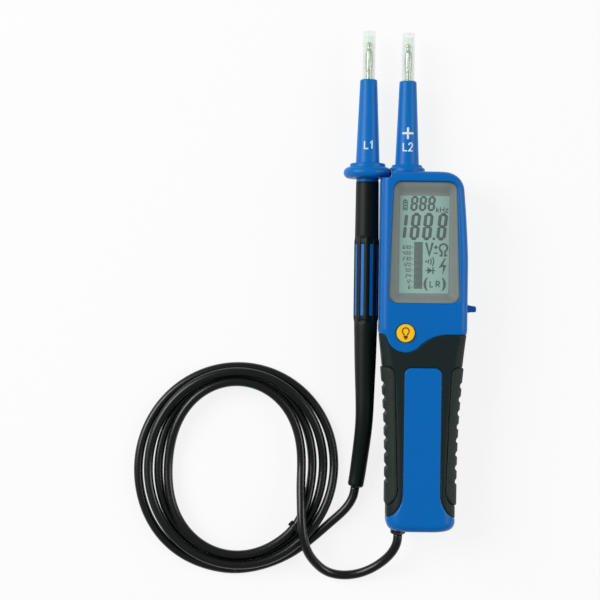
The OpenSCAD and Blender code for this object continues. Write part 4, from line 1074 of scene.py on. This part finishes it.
def moulded_grain():
    """Cloudy noise drifts the colour and the gloss; fine noise and cells give the height of the grain."""
    group, into, out = new_group(
        "moulded_grain",
        [("Colour", COLOUR), ("Drifted", COLOUR), ("Cloud scale", FLOAT), ("Grain scale", FLOAT),
         ("Smooth", FLOAT), ("Rough", FLOAT), ("Cells", FLOAT)],
        [("Colour", COLOUR), ("Roughness", FLOAT), ("Height", FLOAT)])
    links, place = group.links, group.nodes.new("ShaderNodeTexCoord").outputs["Object"]
    cloud, grain = noise_at(group, place, 3), noise_at(group, place, 2)
    cells = group.nodes.new("ShaderNodeTexVoronoi")
    links.new(place, cells.inputs["Vector"])
    links.new(into.outputs["Cloud scale"], cloud.inputs["Scale"])
    for texture in (grain, cells):
        links.new(into.outputs["Grain scale"], texture.inputs["Scale"])
    colour = group.nodes.new("ShaderNodeMix")
    colour.data_type = "RGBA"
    links.new(cloud.outputs["Fac"], colour.inputs["Factor"])
    links.new(into.outputs["Colour"], colour.inputs["A"])
    links.new(into.outputs["Drifted"], colour.inputs["B"])
    gloss = group.nodes.new("ShaderNodeMapRange")
    gloss.inputs["From Min"].default_value = GRAIN_LOW
    gloss.inputs["From Max"].default_value = GRAIN_HIGH
    links.new(grain.outputs["Fac"], gloss.inputs["Value"])
    links.new(into.outputs["Smooth"], gloss.inputs["To Min"])
    links.new(into.outputs["Rough"], gloss.inputs["To Max"])
    height = group.nodes.new("ShaderNodeMix")
    links.new(into.outputs["Cells"], height.inputs["Factor"])
    links.new(grain.outputs["Fac"], height.inputs["A"])
    links.new(cells.outputs["Distance"], height.inputs["B"])
    links.new(colour.outputs["Result"], out.inputs["Colour"])
    links.new(gloss.outputs["Result"], out.inputs["Roughness"])
    links.new(height.outputs["Result"], out.inputs["Height"])
    return group


GRAIN = moulded_grain()


def linear(r, g, b):
    """An sRGB colour of 0 to 255 as the linear colour a shader takes."""
    c = np.array([r, g, b]) / 255
    return (*np.where(c <= 0.04045, c / 12.92, ((c + 0.055) / 1.055) ** 2.4), 1.0)


CLOUD_SCALE, BUMP_STRENGTH = 60.0, 0.6
finishes = {}


def moulded(name, colour, drifted, roughness, grain_mm, depth_mm, cells=0.0, specular=0.3, **sockets):
    """A moulded finish: the grain group feeds colour, roughness and bump. Plain values go on the shader."""
    material = bpy.data.materials.new(name)
    material.use_nodes = True
    tree = material.node_tree
    shader = tree.nodes["Principled BSDF"]
    grain = tree.nodes.new("ShaderNodeGroup")
    grain.node_tree = GRAIN
    values = {"Colour": linear(*colour), "Drifted": linear(*drifted), "Cloud scale": CLOUD_SCALE,
              "Grain scale": 1000.0 / grain_mm, "Smooth": roughness[0], "Rough": roughness[1],
              "Cells": cells}
    for label, value in values.items():
        grain.inputs[label].default_value = value
    bump = tree.nodes.new("ShaderNodeBump")
    bump.inputs["Distance"].default_value = depth_mm * MM
    bump.inputs["Strength"].default_value = BUMP_STRENGTH
    tree.links.new(grain.outputs["Colour"], shader.inputs["Base Color"])
    tree.links.new(grain.outputs["Roughness"], shader.inputs["Roughness"])
    tree.links.new(grain.outputs["Height"], bump.inputs["Height"])
    tree.links.new(bump.outputs["Normal"], shader.inputs["Normal"])
    for label, value in {"Specular IOR Level": specular, **sockets}.items():
        shader.inputs[label].default_value = value
    finishes[name] = material

# %% [markdown]
# Colours are written as they are seen, and turned into the linear values that the shader works with. The
# blue is a satin plastic. The overmould is smooth and dark with a hint of green, and the pads are coarser.

# %% One finish for each material slot
moulded("shell_blue", (0, 100, 180), (0, 106, 187), (0.30, 0.40), 0.25, 0.012, specular=0.18)
moulded("probe_blue", (0, 104, 183), (0, 110, 189), (0.30, 0.40), 0.25, 0.012, specular=0.18)
moulded("grip_black", (10, 27, 27), (16, 33, 33), (0.48, 0.60), 0.3, 0.02, specular=0.24)
moulded("pad_black", (22, 34, 29), (38, 51, 45), (0.55, 0.80), 0.9, 0.28, 0.55)
moulded("sleeve_black", (6, 18, 13), (10, 23, 17), (0.42, 0.52), 0.35, 0.02, specular=0.2)
moulded("cord_black", (8, 14, 12), (12, 20, 17), (0.24, 0.32), 0.6, 0.02, specular=0.4)
moulded("tie_black", (14, 16, 16), (20, 22, 22), (0.35, 0.45), 0.4, 0.02)
moulded("button_yellow", (254, 192, 20), (255, 200, 34), (0.35, 0.45), 0.3, 0.012)
moulded("frame_grey", (114, 126, 121), (104, 116, 112), (0.5, 0.6), 0.4, 0.02)
moulded("lcd_green", (146, 186, 174), (138, 178, 167), (0.25, 0.32), 0.2, 0.004)
moulded("light_white", (225, 225, 220), (215, 215, 210), (0.5, 0.6), 0.3, 0.02)
moulded("strip_pink", (205, 120, 140), (190, 110, 130), (0.5, 0.6), 0.3, 0.02)
moulded("board_green", (38, 100, 60), (30, 88, 52), (0.35, 0.45), 0.5, 0.02)
moulded("chip_black", (30, 30, 30), (24, 24, 24), (0.45, 0.6), 0.2, 0.02)
moulded("resistor_tan", (185, 150, 110), (170, 138, 100), (0.35, 0.45), 0.4, 0.01)
moulded("seal_black", (24, 24, 24), (30, 30, 30), (0.6, 0.7), 0.4, 0.02)
moulded("cell_silver", (200, 200, 195), (185, 186, 182), (0.25, 0.35), 0.5, 0.01, Metallic=1.0)
moulded("contact_steel", (205, 205, 200), (190, 190, 186), (0.2, 0.3), 0.4, 0.01, Metallic=1.0)
moulded("screw_steel", (175, 176, 176), (160, 161, 162), (0.28, 0.4), 0.3, 0.01, Metallic=1.0)
moulded("pin_nickel", (182, 178, 164), (166, 162, 148), (0.14, 0.24), 0.3, 0.006, Metallic=1.0)
moulded("lens_clear", (225, 235, 230), (230, 238, 234), (0.04, 0.08), 2.0, 0.002, Alpha=0.06)
moulded("lcd_ink", (36, 62, 60), (42, 68, 66), (0.5, 0.6), 0.3, 0.004)
moulded("icon_brown", (92, 58, 16), (104, 66, 20), (0.5, 0.6), 0.3, 0.004)
moulded("mark_white", (232, 240, 246), (224, 234, 242), (0.4, 0.5), 0.3, 0.004)
moulded("cap_clear", (216, 238, 222), (222, 241, 229), (0.15, 0.22), 0.8, 0.006, Alpha=0.25)
print(len(finishes), "finishes")

# %% Give each piece its finish
wanted = {row["node"]: row["material_slot"] for row in frame["record"]["subparts"]}
for name, node in nodes.items():
    node.data.materials.clear()
    node.data.materials.append(finishes[wanted[name]])
new_pieces = {
    "cord_black": [coiled_cord, probe_cord], "shell_blue": [front_skin, rear_skin, lug, seat],
    "grip_black": [front_grip, rear_grip], "pad_black": pads, "tie_black": [strap], "frame_grey": [tray],
    "sleeve_black": [boot, sleeve], "lcd_ink": [segments], "icon_brown": [bulb_mark],
    "mark_white": [pole_one, pole_two]}
for slot, pieces in new_pieces.items():
    for piece in pieces:
        piece.data.materials.append(finishes[slot])
print(len(nodes), "CAD nodes and", sum(map(len, new_pieces.values())), "new pieces dressed")

# %% [markdown]
# ## Table and light
# The photograph has a white table and a large soft light. The floor is white paper that also glows a little
# to the camera and in reflections, so it reads as white while the object's shadow still falls on it.

# %% Floor, lamps and world
PAPER_GREY, GLOW_SHARE, ROOM_LIGHT = 0.86, 0.84, 0.26


def white_table():
    """A pale floor: diffuse paper mixed with a plain white glow for camera, glossy and transmitted rays."""
    material = bpy.data.materials.new("white_table")
    material.use_nodes = True
    tree = material.node_tree
    tree.nodes.clear()
    output = tree.nodes.new("ShaderNodeOutputMaterial")
    both = tree.nodes.new("ShaderNodeMixShader")
    paper = tree.nodes.new("ShaderNodeBsdfDiffuse")
    paper.inputs["Color"].default_value = (PAPER_GREY, PAPER_GREY, PAPER_GREY, 1)
    glow = tree.nodes.new("ShaderNodeEmission")
    rays = tree.nodes.new("ShaderNodeLightPath").outputs
    seen = rays["Is Camera Ray"]
    for kind in ("Is Glossy Ray", "Is Transmission Ray"):
        either = tree.nodes.new("ShaderNodeMath")
        either.operation = "MAXIMUM"
        tree.links.new(seen, either.inputs[0])
        tree.links.new(rays[kind], either.inputs[1])
        seen = either.outputs[0]
    share = tree.nodes.new("ShaderNodeMath")
    share.operation = "MULTIPLY"
    share.inputs[1].default_value = GLOW_SHARE
    tree.links.new(seen, share.inputs[0])
    tree.links.new(share.outputs[0], both.inputs["Fac"])
    tree.links.new(paper.outputs[0], both.inputs[1])
    tree.links.new(glow.outputs[0], both.inputs[2])
    tree.links.new(both.outputs[0], output.inputs["Surface"])
    return material


TABLE_HALF, TABLE_Z = 2.5, -0.0002
floor_xy = TABLE_HALF * np.array([(-1, -1), (1, -1), (1, 1), (-1, 1)])
floor = link_mesh("table_top", np.column_stack([floor_xy, np.full(4, TABLE_Z)]), [(0, 1, 2, 3)])
floor.data.materials.append(white_table())


def soft_lamp(name, at, towards, size, watts):
    """A square area lamp at a point, turned to face another point."""
    data = bpy.data.lights.new(name, "AREA")
    data.size, data.energy = size, watts
    lamp = bpy.data.objects.new(name, data)
    lamp.location = at
    way = np.array(towards, float) - np.array(at, float)
    tilt, turn = np.arctan2(np.hypot(way[0], way[1]), -way[2]), np.arctan2(way[1], way[0]) - np.pi / 2
    lamp.rotation_euler = (tilt, 0, turn)
    bpy.context.scene.collection.objects.link(lamp)


MIDDLE = (-0.06, 0.02, 0.0)
soft_lamp("key", (-1.15, 0.45, 0.95), MIDDLE, 0.9, 20)
soft_lamp("fill", (1.2, 0.1, 0.75), MIDDLE, 0.8, 9)
world = bpy.data.worlds.new("white_room")
world.use_nodes = True
room = world.node_tree.nodes["Background"]
room.inputs["Color"].default_value = (1, 1, 1, 1)
room.inputs["Strength"].default_value = ROOM_LIGHT
bpy.context.scene.world = world
bpy.context.scene.view_settings.view_transform = "Standard"
print("stage set")
